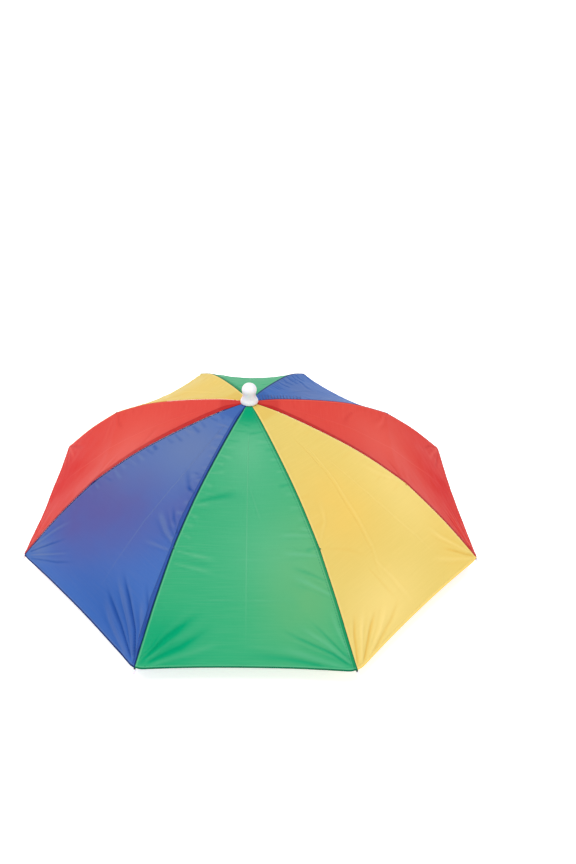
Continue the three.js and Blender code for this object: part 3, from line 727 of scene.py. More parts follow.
# Each row gives the kind, the place and the spread in mm, across and along, and the strength
# Painted patches: highlights where the cloth catches the light, shade round the apex and low on the
# panels, and a tint of the light round them
PATCHES = {
    1: (
        (PAINTED_SHADE, 0, 22, 18, 22, 1.0), (PAINTED_HIGHLIGHT, 0, 75, 24, 30, 0.4), (PAINTED_HIGHLIGHT, 0, 110, 45, 50, 0.35),
        (PAINTED_SHADE, -28, 148, 24, 7, 0.3), (PAINTED_HIGHLIGHT, 20, 215, 60, 45, 0.3), (PAINTED_LIGHT_TINT, 62, 245, 46, 92, 1.0),
        (PAINTED_SHADE, -88, 314, 40, 34, 0.8), (PAINTED_SHADE, 5, 332, 60, 12, 0.15), (PAINTED_SHADE, 80, 334, 40, 14, 0.25),
    ),
    2: (
        (PAINTED_LIGHT_TINT, -20, 190, 50, 60, 0.6), (PAINTED_HIGHLIGHT, 60, 180, 30, 60, 0.25), (PAINTED_HIGHLIGHT, 70, 235, 34, 50, 0.3),
        (PAINTED_LIGHT_TINT, 90, 300, 30, 50, 0.3), (PAINTED_HIGHLIGHT, -40, 312, 60, 42, 0.6),
    ),
    3: ((PAINTED_HIGHLIGHT, 6, 195, 46, 55, 0.5), (PAINTED_LIGHT_TINT, 0, 318, 110, 62, 1.0)),
    4: ((PAINTED_HIGHLIGHT, 0, 110, 50, 40, 0.5),),
    5: ((PAINTED_HIGHLIGHT, 0, 100, 70, 60, 0.35),),
    6: ((PAINTED_LIGHT_TINT, 0, 120, 60, 60, 0.4),),
    7: ((PAINTED_HIGHLIGHT, 20, 165, 60, 60, 0.5), (PAINTED_LIGHT_TINT, -10, 315, 110, 72, 1.0)),
    8: (
        (PAINTED_HIGHLIGHT, -2, 100, 56, 62, 0.95), (PAINTED_SHADE, 41, 147, 14, 12, 0.15), (PAINTED_LIGHT_TINT, 50, 150, 24, 60, 0.5),
        (PAINTED_HIGHLIGHT, -60, 170, 40, 46, 0.35), (PAINTED_LIGHT_TINT, -34, 205, 74, 74, 1.0),
        (PAINTED_LIGHT_TINT, -70, 270, 50, 50, 0.6), (PAINTED_SHADE, 50, 316, 80, 34, 0.45),
        (PAINTED_HIGHLIGHT, -98, 322, 20, 16, 0.6),
    ),
}


def tone(panel, cut, folds, crease_rise):
    """Painted highlight, painted shade and painted tint of light, from 0 to 1, at each point of the
    grid.
    """
    kinds = np.zeros((3, *cut.across.shape))
    for kind, across, along, wide, tall, strength in PATCHES[panel]:
        spot = bump(cut.across - across * MM, wide * MM) * bump(cut.along - along * MM, tall * MM)
        kinds[kind] += strength * spot
    # Painted highlight on the ridges of folds and along the centre crease
    kinds[PAINTED_HIGHLIGHT] += np.clip(folds / FOLD_SHADING_DEPTH, 0, 0.5) + 0.6 * np.clip(crease_rise / CREASE_HIGHLIGHT_DEPTH, 0, 1)
    # Painted shade in the valleys of folds
    kinds[PAINTED_SHADE] += np.clip(-folds / FOLD_SHADING_DEPTH, 0, 0.8)
    return np.clip(kinds, 0, 1)


print("patches:", sum(len(rows) for rows in PATCHES.values()))

# %% [markdown]
# Now the gores are laid. The sheet has one wall, which a Solidify modifier thickens inwards. The
# three panels in front, and the one with coarse sewing at the back, get a finer grid. The hem's
# middle is drawn up in a shallow arc, and two maps tell the finish where it is on the cloth and how
# near a seam.

# %% Lay the cloth
CLOTH_WALL = 0.25 * MM
FRONT = -math.pi / 2
HEM_RISE = 3 * MM
CORNER_ROUND = 2 * MM
CORNER_REACH = 5 * MM
FINE_PANELS = (1, 2, 4, 8)


def cut_of(number):
    return fine_cut if number in FINE_PANELS else plain_cut


def lay_cloth(number):
    """One panel: a flat grid whose points are moved onto the folds between two ribs."""
    cut = cut_of(number)
    outer_share = np.clip((cut.along - FOLD_AT) / (SEAM_END - FOLD_AT), 0, 1)
    rise = HEM_RISE * outer_share**2 * cut.belly
    rise += CORNER_ROUND * outer_share**8 * bump(cut.nearest, CORNER_REACH)
    out, up, lean_out, lean_up = seam_at(cut.along - rise)
    folds, crease_rise = folds_of(number, cut)
    raised = relief(number, cut, folds, crease_rise)
    middle = FRONT + 2 * (number - 1) * HALF_PANEL
    ahead = out * math.cos(HALF_PANEL) + lean_out * raised
    x = ahead * math.cos(middle) - cut.across * math.sin(middle)
    y = ahead * math.sin(middle) + cut.across * math.cos(middle)
    z = APEX + up + lean_up * raised
    places = np.stack([x, y, z], axis=-1)
    cloth, row, column = shaped_grid(f"cloth_{number}", places)
    edges = (strip_distance(number, cut) / cut.narrowing, cut.nearest / cut.narrowing)
    add_map(cloth, "cloth", (cut.across, cut.along), row, column)
    add_map(cloth, "edges", edges, row, column)
    # The painted highlight, painted shade and painted tint of light go into a colour attribute
    colours = np.ones((len(row), 4))
    colours[:, :3] = np.moveaxis(tone(number, cut, folds, crease_rise), 0, -1)[row, column]
    layer = cloth.data.color_attributes.new("tone", "FLOAT_COLOR", "POINT")
    layer.data.foreach_set("color", colours.ravel())
    apply_modifier(cloth, "SOLIDIFY", thickness=CLOTH_WALL, offset=-1)
    shade()
    return cloth, places


cloths, surfaces = zip(*[lay_cloth(number) for number in range(1, PANELS + 1)])
print("faces in the front panel:", len(cloths[0].data.polygons))

# %% [markdown]
# ## Nylon
# The cloth is a thin plain-woven nylon, dyed in four strong colours. It is neither matt nor glossy,
# lets some light through, and shows where it is doubled or creased; light and shade are also painted
# into its colour. All of that is placed by two UV maps, one in metres over the cloth and one with the
# distance to the seams, and by the colour attribute of painted light. A dye needs six colours: plain,
# pale for paler streaks and painted highlights, deep for painted shade, a painted tint of the light
# round the panel, doubled, and its thread's.

# %% Dyes
def dye(red, green, blue):
    """A colour as it reads on a screen, 0 to 255, turned into the values that shaders mix."""
    parts = [part / 255 for part in (red, green, blue)]
    linear = [part / 12.92 if part <= 0.04045 else ((part + 0.055) / 1.055) ** 2.4 for part in parts]
    return (*linear, 1.0)


# Pale is the colour of paler streaks and painted highlights, deep that of painted shade and of the
# hem thread, and the tint one a painted tint of the light round the panel
DYES = {
    "green": {"body": dye(58, 173, 121), "pale": dye(108, 190, 146), "deep": dye(2, 162, 112),
              "light_tint": dye(102, 178, 120), "strip": dye(8, 140, 86), "thread": dye(8, 92, 66)},
    "yellow": {"body": dye(227, 203, 114), "pale": dye(246, 222, 142), "deep": dye(226, 180, 76),
               "light_tint": dye(242, 202, 102), "strip": dye(232, 190, 90), "thread": dye(248, 216, 118)},
    "red": {"body": dye(221, 75, 66), "pale": dye(232, 104, 92), "deep": dye(184, 36, 38),
            "light_tint": dye(212, 24, 22), "strip": dye(186, 36, 38), "thread": dye(160, 34, 34)},
    "blue": {"body": dye(68, 112, 186), "pale": dye(105, 126, 174), "deep": dye(42, 84, 162),
             "light_tint": dye(94, 92, 157), "strip": dye(46, 84, 160), "thread": dye(22, 32, 84)},
}


def colour_of(number):
    return list(DYES)[(number - 1) % len(DYES)]


print("dyes:", ", ".join(DYES))

# %% [markdown]
# The colour is built up with light painted in: faint streaks of the weave, then the painted
# highlights, shade and tint of light from the colour attribute, then the painted shadow of the ruff
# that shows through at the top. An image could hold all this, but blends of nodes stay sharp at any
# distance.

# %% The nylon's colour, with painted light and shade
WEFT_STREAKS = (26, 620, 1)
CLOUDS = (14, 12, 1)
RUFF_SHADOW = (40 * MM, 47 * MM)


def cloth_colour_with_painted_light(kit, cloth, streaks, clouds, body, pale, deep, light_tint):
    """The cloth's colour before its seams: streaked, with painted highlights, painted shade and a
    painted tint of light, and the painted shadow of the ruff at the top.
    """
    painted_lights = kit.node("Attribute", settings={"attribute_name": "tone"})
    highlighted, shaded, light_tinted = (kit.node("SeparateColor", painted_lights, out=index) for index in range(3))
    down = kit.node("SeparateXYZ", cloth, out=1)
    colour = kit.blend(kit.smooth(streaks, 0.35, 0.75) * 0.16, body, pale)
    # Painted tint of the light round the panel, then painted highlight, then painted shade
    colour = kit.blend(light_tinted * kit.smooth(clouds, 0.2, 0.6, 0.6, 1.0), colour, light_tint)
    colour = kit.blend(highlighted, colour, pale)
    colour = kit.blend(shaded, colour, deep)
    # Painted shadow of the ruff near the apex
    over_ruff = 1 - kit.smooth(down + 0.01 * clouds, *RUFF_SHADOW)
    return kit.blend(over_ruff * 0.35, colour, deep)


print("weft streaks to a metre:", WEFT_STREAKS[1])

# %% [markdown]
# Sewing shows as lines: the doubled strip with its stitched border, a painted highlight on the ridge
# beside the joint, a painted highlight on the rolled hem, and the thread's colour in the joint and
# along the rim's edge. Each is a stripe over the distance to a seam or to the hem, so it follows
# every seam without being drawn.

# %% The nylon with its seams
HEM_ROLL = (SEAM_END - 3.8 * MM, SEAM_END - 3.0 * MM)
HEM_EDGE = (SEAM_END - 2.1 * MM, SEAM_END - 1.6 * MM)
RIDGE_FADE = (2 * MM, 3.2 * MM)
BORDER = (4.3 * MM, 4.8 * MM, 5.0 * MM, 5.6 * MM)
STRIP_FADE = (4.4 * MM, 5.2 * MM)
WARP = (2600, 700, 1)
WEFT = (700, 2600, 1)
LIGHT_THROUGH = 0.2
JOINT_WIDTHS = {"green": 1.2 * MM, "yellow": 0.7 * MM, "red": 0.9 * MM, "blue": 1.9 * MM}


def nylon(name, body, pale, deep, light_tint, strip, thread):
    kit = Kit(name + "_nylon")
    cloth = kit.node("UVMap", settings={"uv_map": "cloth"})
    edges = kit.node("UVMap", settings={"uv_map": "edges"})
    down = kit.node("SeparateXYZ", cloth, out=1)
    to_strip, near = (kit.node("SeparateXYZ", edges, out=index) for index in range(2))
    streaks = kit.stretched_noise(cloth, WEFT_STREAKS, 3)
    clouds = kit.stretched_noise(cloth, CLOUDS, 3)
    colour = cloth_colour_with_painted_light(kit, cloth, streaks, clouds, body, pale, deep, light_tint)
    doubled = 1 - kit.smooth(to_strip, *STRIP_FADE)
    colour = kit.blend(doubled * 0.8, colour, strip)
    joint_fade = (0.5 * JOINT_WIDTHS[name], JOINT_WIDTHS[name])
    ridge = kit.stripe(near, *joint_fade, *RIDGE_FADE)
    # Painted highlight on the ridge beside the joint
    colour = kit.blend(ridge * (1 - doubled) * 0.5, colour, pale)
    colour = kit.blend(kit.stripe(to_strip, *BORDER) * 0.45, colour, thread)
    # Painted highlight on the rolled hem
    colour = kit.blend(kit.stripe(down, *HEM_ROLL, *HEM_EDGE) * 0.35, colour, pale)
    joint = 1 - kit.smooth(near, *joint_fade)
    edge = kit.smooth(down, *HEM_EDGE)
    colour = kit.blend(joint.math("MAXIMUM", edge) * 0.85, colour, thread)
    weave = kit.stretched_noise(cloth, WARP, 2) + kit.stretched_noise(cloth, WEFT, 2)
    rough = kit.smooth(streaks + clouds, 0.7, 1.3, 0.4, 0.52)
    skin = kit.skin(
        colour, rough, weave + 1.5 * streaks, 0.3, 0.08 * MM, Specular_IOR_Level=0.03
    )
    through = kit.node("BsdfTranslucent", Color=body)
    return kit.finish(kit.node("MixShader", LIGHT_THROUGH, skin, through))


nylons = {name: nylon(name, **parts) for name, parts in DYES.items()}
for number, cloth in enumerate(cloths, 1):
    name = colour_of(number)
    dress(cloth, nylons[name], name + "_cloth", f"panel_{number}")
print("nylons:", ", ".join(nylons))

PANEL_WIDTH = 2 * plain_cut.half_chord[-1]
PANEL_AREA = float(np.trapz(2 * plain_cut.half_chord, plain_cut.lengths))

# %% [markdown]
# ## Thread
# The gores are joined by a seam whose allowance is folded over and stitched down, which gives the
# strip beside each seam, and the rim is hemmed by a narrow roll. The thread matches the cloth, but
# next to the blue it is navy and shows as a dotted line. It is spun, so its finish is a fine fibre.

# %% Thread
def thread(name, body, shade):
    kit = Kit(name)
    fibre = kit.noise(kit.place(), 2400)
    colour = kit.blend(kit.smooth(fibre, 0.35, 0.65), body, shade)
    rough = kit.smooth(fibre, 0.3, 0.7, 0.45, 0.65)
    return kit.finish(kit.skin(colour, rough, fibre, 0.4, 0.05 * MM))


seam_threads = {}
hem_threads = {}
for name, parts in DYES.items():
    seam_threads[name] = thread(name + "_thread", parts["thread"], parts["deep"])
    hem_threads[name] = thread(name + "_hem_thread", parts["deep"], parts["body"])
print("threads:", len(seam_threads) + len(hem_threads))

# %% [markdown]
# A seam has about a hundred stitches, all alike. One is modelled as a small bevelled block of a
# few faces, repeated in a straight row by an Array modifier, and the row is bent along its seam by a
# Curve modifier. It lies on the cloth because its line is taken from the cloth's own points.

# %% A run of stitches
STITCH_PITCH = 3.0 * MM
STITCH_SIZE = Vector((2.1, 0.5, 0.4)) * MM
STITCH_BEVEL = 0.4


def add_line(curve, points):
    """Adds a line through points to a curve."""
    spline = curve.splines.new("POLY")
    spline.points.add(len(points) - 1)
    spline.points.foreach_set("co", np.column_stack([points, np.ones(len(points))]).ravel())


def stitch_run(name, line, pitch=STITCH_PITCH):
    """One stitch, repeated by an array and bent along a line of points."""
    path = bpy.data.curves.new(name + "_path", "CURVE")
    path.dimensions = "3D"
    path.twist_mode = "Z_UP"
    add_line(path, line)
    guide = bpy.data.objects.new(name + "_path", path)
    bpy.context.collection.objects.link(guide)
    length = np.linalg.norm(np.diff(line, axis=0), axis=1).sum()
    deselect()
    bpy.ops.mesh.primitive_cube_add(size=1, location=(pitch / 2, 0, 0))
    stitches = just_made(name)
    bpy.ops.transform.resize(value=STITCH_SIZE)
    bpy.ops.object.transform_apply(location=True, rotation=True, scale=True)
    bevel = STITCH_BEVEL * STITCH_SIZE.z
    apply_modifier(stitches, "BEVEL", width=bevel, segments=1, limit_method="NONE")
    apply_modifier(
        stitches, "ARRAY", count=int(length / pitch), use_relative_offset=False,
        use_constant_offset=True, constant_offset_displace=(pitch, 0, 0),
    )
    apply_modifier(stitches, "CURVE", object=guide, deform_axis="POS_X")
    shade(60)
    bpy.data.objects.remove(guide)
    return stitches


print("a stitch is", STITCH_SIZE.x / MM, "mm long")

# %% [markdown]
# Each panel gets a run along its hem, in thread that matches, and one on the border of its doubled
# strip. On three of the four joints beside a blue panel, navy stitches dot the joint itself.

# %% Stitches on the canopy
# Columns and rows of the grid, counted from the seams and the hem
BORDER_COLUMN = {"left": 7, "right": -8}
HEM_ROW = -6
HEM_SPAN = slice(3, -3)
SEAM_SPAN = slice(12, -3)
NAVY_SEAMS = (3, 4, 7)
NAVY_LIFT = (0, 0, 0.25 * MM)
for number, places in enumerate(surfaces, 1):
    name = colour_of(number)
    hem = stitch_run(f"hem_stitches_{number}", places[HEM_ROW, HEM_SPAN])
    dress(hem, hem_threads[name], name + "_cloth")
    if number in DOUBLED_SIDE:
        line = places[SEAM_SPAN, BORDER_COLUMN[DOUBLED_SIDE[number]]]
        border = stitch_run(f"seam_stitches_{number}", line)
        dress(border, seam_threads[name], name + "_cloth")
    if number in NAVY_SEAMS:
        dotted = stitch_run(f"joint_stitches_{number}", places[SEAM_SPAN, -1] + NAVY_LIFT)
        dress(dotted, seam_threads["blue"], "blue_cloth")
print("stitched", len(surfaces), "panels")

# %% [markdown]
# One seam at the back has coarse sewing: short navy threads run from it over the blue cloth on a
# slant, close together near the knob. A thread that bends over the cloth is simplest as a thin round
# curve, so all of them are lines of one curve object, which is then made a mesh.

# %% Threads beside the back seam
WHIPPED_PANEL = 4
# The rows of the grid where a thread starts, and over how many rows it slants
WHIP_ROWS = range(8, 50, 3)
WHIP_SLANT = 7
WHIP_LENGTH = 14 * MM
WHIP_RADIUS = 0.45 * MM
WHIP_LIFT = Vector((0, 0, 0.3)) * MM


def whip_line(rows):
    """Points over the cloth that move away from the seam by a step in each row."""
    points = []
    for step, places in enumerate(rows):
        away = np.linalg.norm(places - places[0], axis=1)
        column = np.argmin(abs(away - WHIP_LENGTH * step / WHIP_SLANT))
        points.append(places[column] + WHIP_LIFT)
    return points


whips = bpy.data.curves.new("whip_stitches", "CURVE")
whips.dimensions = "3D"
whips.bevel_depth = WHIP_RADIUS
for first in WHIP_ROWS:
    add_line(whips, whip_line(surfaces[WHIPPED_PANEL - 1][first : first + WHIP_SLANT + 1]))
whipped = bpy.data.objects.new("whip_stitches", whips)
bpy.context.collection.objects.link(whipped)
pick(whipped)
bpy.ops.object.convert(target="MESH")
dress(whipped, seam_threads["blue"], "blue_cloth")
print("threads beside the back seam:", len(WHIP_ROWS))

# %% [markdown]
# At each fold joint the cloth is tied to the rib by a loop of thread, so that it folds with it. From
# above a tie is no more than a dark speck on the seam, so a small torus round the rib will do.

# %% Ties at the fold joints
TIE_RADIUS = 1.2 * MM
TIE_THREAD = 0.3 * MM
TIE_DROP = Vector((0, 0, 1.0)) * MM
TIE_COLOURS = ("green", "red", "blue", "blue") * 2
for number, places in enumerate(surfaces, 1):
    row = int(np.argmin(abs(cut_of(number).lengths - FOLD_AT)))
    deselect()
    bpy.ops.mesh.primitive_torus_add(
        major_radius=TIE_RADIUS, minor_radius=TIE_THREAD, major_segments=20, minor_segments=8,
        location=Vector(places[row, -1]) - TIE_DROP,
        rotation=(math.pi / 2, 0, FRONT + (2 * number - 1) * HALF_PANEL + math.pi / 2),
    )
    tie = just_made(f"tie_{number}")
    bpy.ops.object.shade_smooth()
    dress(tie, seam_threads[TIE_COLOURS[number - 1]], "black_cloth")
print("ties:", PANELS)

# %% [markdown]
# ## Steel and plastic
# The ribs are steel under black lacquer. It is plain, so its finish lies in small unevenness: a
# lacquer that is never quite smooth, rubbed paler in scattered places.

# %% Lacquered steel
def lacquered_steel():
    kit = Kit("lacquered_steel")
    grain = kit.noise(kit.place(), 900, 3)
    rubbed = kit.smooth(kit.noise(kit.place(), 60), 0.6, 0.72)
    colour = kit.blend(rubbed * 0.5, dye(22, 22, 24), dye(58, 57, 58))
    rough = kit.smooth(grain, 0.3, 0.7, 0.28, 0.45)
    return kit.finish(kit.skin(colour, rough, grain, 0.3, 0.1 * MM, Coat_Weight=0.4))


steel = lacquered_steel()
print("steel ready:", steel.name)

# %% [markdown]
# The fittings are moulded in two plastics: a clean white one for the knob and the tips, and a milky
# one under the canopy. Both let light sink in, which a subsurface share gives, and thin parts glow
# a little from behind, which needs a translucent share.

# %% Moulded plastic
def moulded_plastic(name, body, shade, depth, rough, through):
    """Plastic with faint flow marks. Depth is the share of light that sinks in and comes out on
    the same side, and through the share that comes out at the back."""
    kit = Kit(name)
    flow = kit.noise(kit.place(), 45, 3)
    grain = kit.noise(kit.place(), 1500)
    colour = kit.blend(kit.smooth(flow, 0.35, 0.7), body, shade)
    gloss = kit.smooth(flow + 0.4 * grain, 0.5, 0.9, rough, rough + 0.12)
    sunk = {"Subsurface_Weight": depth, "Subsurface_Scale": 4 * MM}
    skin = kit.skin(colour, gloss, grain, 0.15, 0.05 * MM, **sunk)
    back = kit.node("BsdfTranslucent", Color=body)
    return kit.finish(kit.node("MixShader", through, skin, back))


white = moulded_plastic(
    "white_plastic_finish", dye(252, 251, 253), dye(239, 236, 246), depth=0.3, rough=0.28, through=0.2
)
milky = moulded_plastic(
    "milky_plastic_finish", dye(243, 238, 233), dye(230, 220, 212), depth=0.35, rough=0.3, through=0.4
)
FINISHES = {"black_steel": steel, "white_plastic": white, "milky_plastic": milky}
for part in frame["record"]["subparts"]:
    finish = FINISHES.get(part["material_slot"])
    if finish:
        node = bpy.data.objects[part["node"]]
        node.material_slots[0].material = finish
print("finishes:", ", ".join(FINISHES))

# %% [markdown]
# Mouldings have no sharp edges. The hub, the runner and the arms keep their shape from the frame,
# as copies whose points are merged and whose edges are rounded a little.

# %% Round the edges of the mouldings
def softened(node, width):
    """A copy of a plastic piece with its edges rounded."""
    source = bpy.data.objects[node]
    copy = source.copy()
    copy.data = source.data.copy()
    copy.name = copy.data.name = node + "_moulded"
    bpy.context.collection.objects.link(copy)
    join_points(copy, within=0.002 * MM)
    angle = math.radians(40)
    apply_modifier(copy, "BEVEL", width=width, segments=3, limit_method="ANGLE", angle_limit=angle)
    shade(35)
    settle(copy, "milky_plastic", node)
    return copy


STRAP_ARMS = 4
SOFTENED = {"hub": 0.3 * MM, "runner": 0.3 * MM}
SOFTENED.update({f"strap_arm_{number + 1}": 0.35 * MM for number in range(STRAP_ARMS)})
moulded = [softened(node, width) for node, width in SOFTENED.items()]
print("moulded pieces:", [len(piece.data.polygons) for piece in moulded])

# %% [markdown]
# ## Knob on top
# The knob is a small moulding like a pawn: a dome, a waist, and a skirt that covers the hole in the
# cloth. It could be sculpted from a sphere, but it is round, so its outline is extruded point by
# point and spun.

# %% The knob's outline
KNOB_LINE = (
    (0, 2.5), (4.3, 2.5), (4.4, 0.2), (4.8, 0), (9.9, 0), (10.6, 0.5), (10.85, 1.4), (10.7, 2.6),
    (10.0, 4.2), (9.0, 5.9), (8.2, 7.6), (7.8, 9.3), (7.75, 10.8), (7.95, 12.3), (8.4, 13.9),
    (8.75, 15.4), (8.9, 16.9), (8.75, 18.4), (8.25, 20.0), (7.3, 21.6), (6.0, 23.0), (4.3, 24.1),
    (2.3, 24.8), (0, 25.1),
)
SPIN_STEPS = 112


def turned(name, outline, base, steps):
    """A piece turned on the hub's axis: outline is radius and height in mm over base."""
    deselect()
    bpy.ops.mesh.primitive_plane_add(size=MM)
    piece = just_made(name)
    edit_all()
    bpy.ops.mesh.merge(type="CENTER")
    first = Vector((outline[0][0] * MM, 0, base + outline[0][1] * MM))
    bpy.ops.transform.translate(value=first)
    for start, end in zip(outline, outline[1:]):
        step = Vector(((end[0] - start[0]) * MM, 0, (end[1] - start[1]) * MM))
        bpy.ops.mesh.extrude_region_move(TRANSFORM_OT_translate={"value": step})
    bpy.ops.mesh.select_all(action="SELECT")
    bpy.ops.mesh.spin(steps=steps, angle=2 * math.pi, center=(0, 0, 0), axis=(0, 0, 1))
    bpy.ops.mesh.select_all(action="SELECT")
    bpy.ops.mesh.remove_doubles(threshold=0.005 * MM)
    bpy.ops.mesh.normals_make_consistent(inside=False)
    bpy.ops.object.mode_set(mode="OBJECT")
    return piece


KNOB_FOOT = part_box("finial")[0].z
knob = turned("knob", KNOB_LINE, KNOB_FOOT, SPIN_STEPS)
print("knob:", len(knob.data.polygons), "faces")

# %% [markdown]
# Shallow facets round the waist give the fingers a hold. They are too shallow for a bevel or a
# boolean cut, so the spun points are drawn in a little between the facets' edges.

# %% Facets round the knob's waist
WAIST_LOW = KNOB_FOOT + 5.5 * MM
WAIST_HIGH = KNOB_FOOT + 16 * MM
FACETS = 14
FACET_DEPTH = 0.3 * MM
for vertex in knob.data.vertices:
    share = (vertex.co.z - WAIST_LOW) / (WAIST_HIGH - WAIST_LOW)
    if 0 < share < 1:
        turn = math.atan2(vertex.co.y, vertex.co.x)
        flat = abs(math.cos(FACETS / 2 * turn)) * math.sin(math.pi * share)
        vertex.co.xy *= 1 - FACET_DEPTH * flat / vertex.co.xy.length
pick(knob)
shade()
dress(knob, white, "white_plastic", "finial")
print("facets:", FACETS)

# %% [markdown]
# ## Cloth under the hub
# A ruff of thin black cloth is gathered round the hub and hides where the ribs meet. It is a sheet
# that runs out under the ribs and is tucked back, crumpled, with a satin shine on its folds. Its
# pleats are made by moving the points of one grid, without a simulation.

# %% Lay the ruff
RUFF_RADIUS = 38 * MM
RUFF_TOP = APEX - 11.5 * MM
RUFF_HOLE = 8 * MM
RUFF_DROP = 7.5 * MM
RUFF_SAG = 3 * MM
RUFF_WALL = 0.3 * MM
TUCK = 0.78
# How many pleats go round, how strong they are, and where they start
RUFF_PLEATS = ((9, 1.0, 0.3), (14, 0.6, 1.7), (23, 0.35, 0.9), (37, 0.2, 2.6))
PLEAT_REACH = 0.8 * MM
PLEAT_HEIGHT = 2.0 * MM
CRUMPLE_HEIGHT = 1.3 * MM
RUFF_COLUMNS = 320
RUFF_ROWS = 56


def pleats(turn, share):
    """Sharp ridges that run out from the hub and wind a little."""
    total = np.zeros_like(turn + share)
    for count, strength, start in RUFF_PLEATS:
        wind = 1.3 * share * math.sin(count)
        total += strength * (1 - 2 * abs(np.sin(count / 2 * turn + start + wind)))
    return total


def ruff_places():
    turn = np.linspace(0, 2 * math.pi, RUFF_COLUMNS + 1)[None, :]
    share = np.linspace(0, 1, RUFF_ROWS)[:, None]
    out = np.sin(share * math.pi * TUCK)
    pleat = pleats(turn, share) * out
    lobe = 0.6 * np.cos(8 * turn + 0.4) + 0.4 * np.cos(5 * turn + 1.9)
    rim = RUFF_RADIUS * (1 + 0.08 * lobe)
    reach = RUFF_HOLE + out * (rim - RUFF_HOLE) + PLEAT_REACH * pleat
    skew = 0.05 * np.sin(7 * turn + 5 * share) + 0.04 * np.sin(19 * turn + 2)
    turn = turn + out * skew
    crumple = np.sin(31 * turn + 9 * share) * np.sin(17 * turn - 14 * share + 1) * out
    height = RUFF_TOP - RUFF_DROP * share - RUFF_SAG * out**2
    height = height + PLEAT_HEIGHT * pleat + CRUMPLE_HEIGHT * crumple
    return np.stack([reach * np.cos(turn), reach * np.sin(turn), height], axis=-1)


places = ruff_places()
ruff, _, _ = shaped_grid("ruff_cloth", places[::-1])
join_points(ruff)
apply_modifier(ruff, "SOLIDIFY", thickness=RUFF_WALL, offset=0)
shade(60)

# %% [markdown]
# The ruff's cloth is a thin satin: almost black, brownish on its creases, with a shine that comes
# and goes. Finer creases than the grid can hold are left to a bump.

# %% Satin
def satin():
    kit = Kit("ruff_satin")
    weave = kit.stretched_noise(kit.place(), (2400, 2400, 700), 2)
    creases = kit.stretched_noise(kit.place(), (160, 160, 90), 4)
    colour = kit.blend(kit.smooth(creases, 0.35, 0.7), dye(26, 23, 22), dye(54, 47, 43))
    rough = kit.smooth(creases, 0.35, 0.7, 0.3, 0.5)
    sheen = {"Sheen_Weight": 0.1, "Sheen_Roughness": 0.3}
    return kit.finish(kit.skin(colour, rough, weave + 5 * creases, 0.5, 0.3 * MM, **sheen))


dress(ruff, satin(), "black_cloth", "ruff")
print("ruff dressed:", ruff.data.materials[0].name)

# %% [markdown]
# ## Headband
# The band is woven elastic, 25 mm wide. It runs flat through the four loops and round between them.
# A curve with a flat section could follow that course, but the band also lifts between the loops,
# so its course is kept as rows of places and directions.

# %% The band's course
BAND_RADIUS = 86 * MM
BAND_WIDTH = 25 * MM
BAND_WALL = 1.3 * MM
BAND_LOW = 6 * MM
BAND_WAVE = 2 * MM
BAND_FLAT = 11.5 * MM
BAND_TURN = FRONT + 3 * HALF_PANEL + math.pi / 2
BAND_ROWS = 14
CORNER_STEPS = 64
FLAT_STEPS = 16
BAND_BULGE = 0.4 * MM
BAND_SWAY = 0.25 * MM
# How many waves go round the band's edges, their height in mm, and where they start
EDGE_WAVES = ((23, 0.35, 0.4), (31, 0.25, 2.0), (47, 0.15, 1.1))


def band_course():
    """Points along the band's middle, its outward direction and its lift, over one round."""
    corner = BAND_RADIUS - BAND_FLAT
    rows = []
    for arm in range(STRAP_ARMS):
        start = BAND_TURN + arm * math.pi / 2
        middle = start + math.pi / 4
        centre = np.array([math.cos(middle), math.sin(middle)]) * BAND_FLAT * math.sqrt(2)
        for step in range(CORNER_STEPS):
            share = step / (CORNER_STEPS - 1)
            angle = start + share * math.pi / 2
            out = np.array([math.cos(angle), math.sin(angle)])
            lift = (1, -1)[arm % 2] * BAND_WAVE * math.sin(share * math.pi) ** 2
            rows.append((*(centre + corner * out), *out, lift))
        finish = np.array(rows[-1][:2])
        ahead = np.array([-out[1], out[0]]) * 2 * BAND_FLAT
        rows += [(*(finish + ahead * n / FLAT_STEPS), *out, 0) for n in range(1, FLAT_STEPS)]
    return np.array(rows + rows[:1])


course = band_course()
passed = np.concatenate([[0], np.cumsum(np.linalg.norm(np.diff(course[:, :2], axis=0), axis=1))])
print(f"the band is {passed[-1] / MM:.0f} mm round")

# %% [markdown]
# The band's edges wave a little where it is slack, and its face isn't quite flat. It is a grid of
# a few rows over the course, closed into a ring and thickened.

# %% Weave the band
def band_places(low, high, offset):
    """Rows of points from the band's lower edge to its upper one."""
    turn = 2 * math.pi * passed / passed[-1]
    height = np.linspace(0, 1, BAND_ROWS)[:, None]
    edge = sum(size * np.sin(count * turn + start) for count, size, start in EDGE_WAVES) * MM
    other = sum(size * np.cos(count * turn - start) for count, size, start in EDGE_WAVES) * MM
    z = low + course[:, 4] + height * (high - low) + (1 - height) * edge + height * other
    bulge = BAND_BULGE * np.sin(math.pi * height) * np.sin(9 * turn + 0.7)
    reach = offset + bulge + BAND_SWAY * np.sin(21 * turn)
    x = course[:, 0] + course[:, 2] * reach
    y = course[:, 1] + course[:, 3] * reach
    return np.stack([x, y, z], axis=-1)


def thicken_band(piece):
    apply_modifier(piece, "SOLIDIFY", thickness=BAND_WALL, offset=0)
    apply_modifier(piece, "BEVEL", width=0.3 * MM, segments=2, limit_method="ANGLE")
    shade()


places = band_places(BAND_LOW, BAND_LOW + BAND_WIDTH, 0)
band, row, column = shaped_grid("elastic_band", places[::-1])
band_height = np.linspace(BAND_WIDTH, 0, BAND_ROWS)[:, None]
add_map(band, "cloth", (passed[None, :], band_height), row, column)
join_points(band)
thicken_band(band)
print("band faces:", len(band.data.polygons))

# %% [markdown]
# The elastic is woven with a fine rib along it every millimetre, crossed by the wefts, and it is
# black, fluffed brown where it has been rubbed. Sine waves over the band's own map give ribs that
# follow it all the way round, as geometry would at a far greater cost.

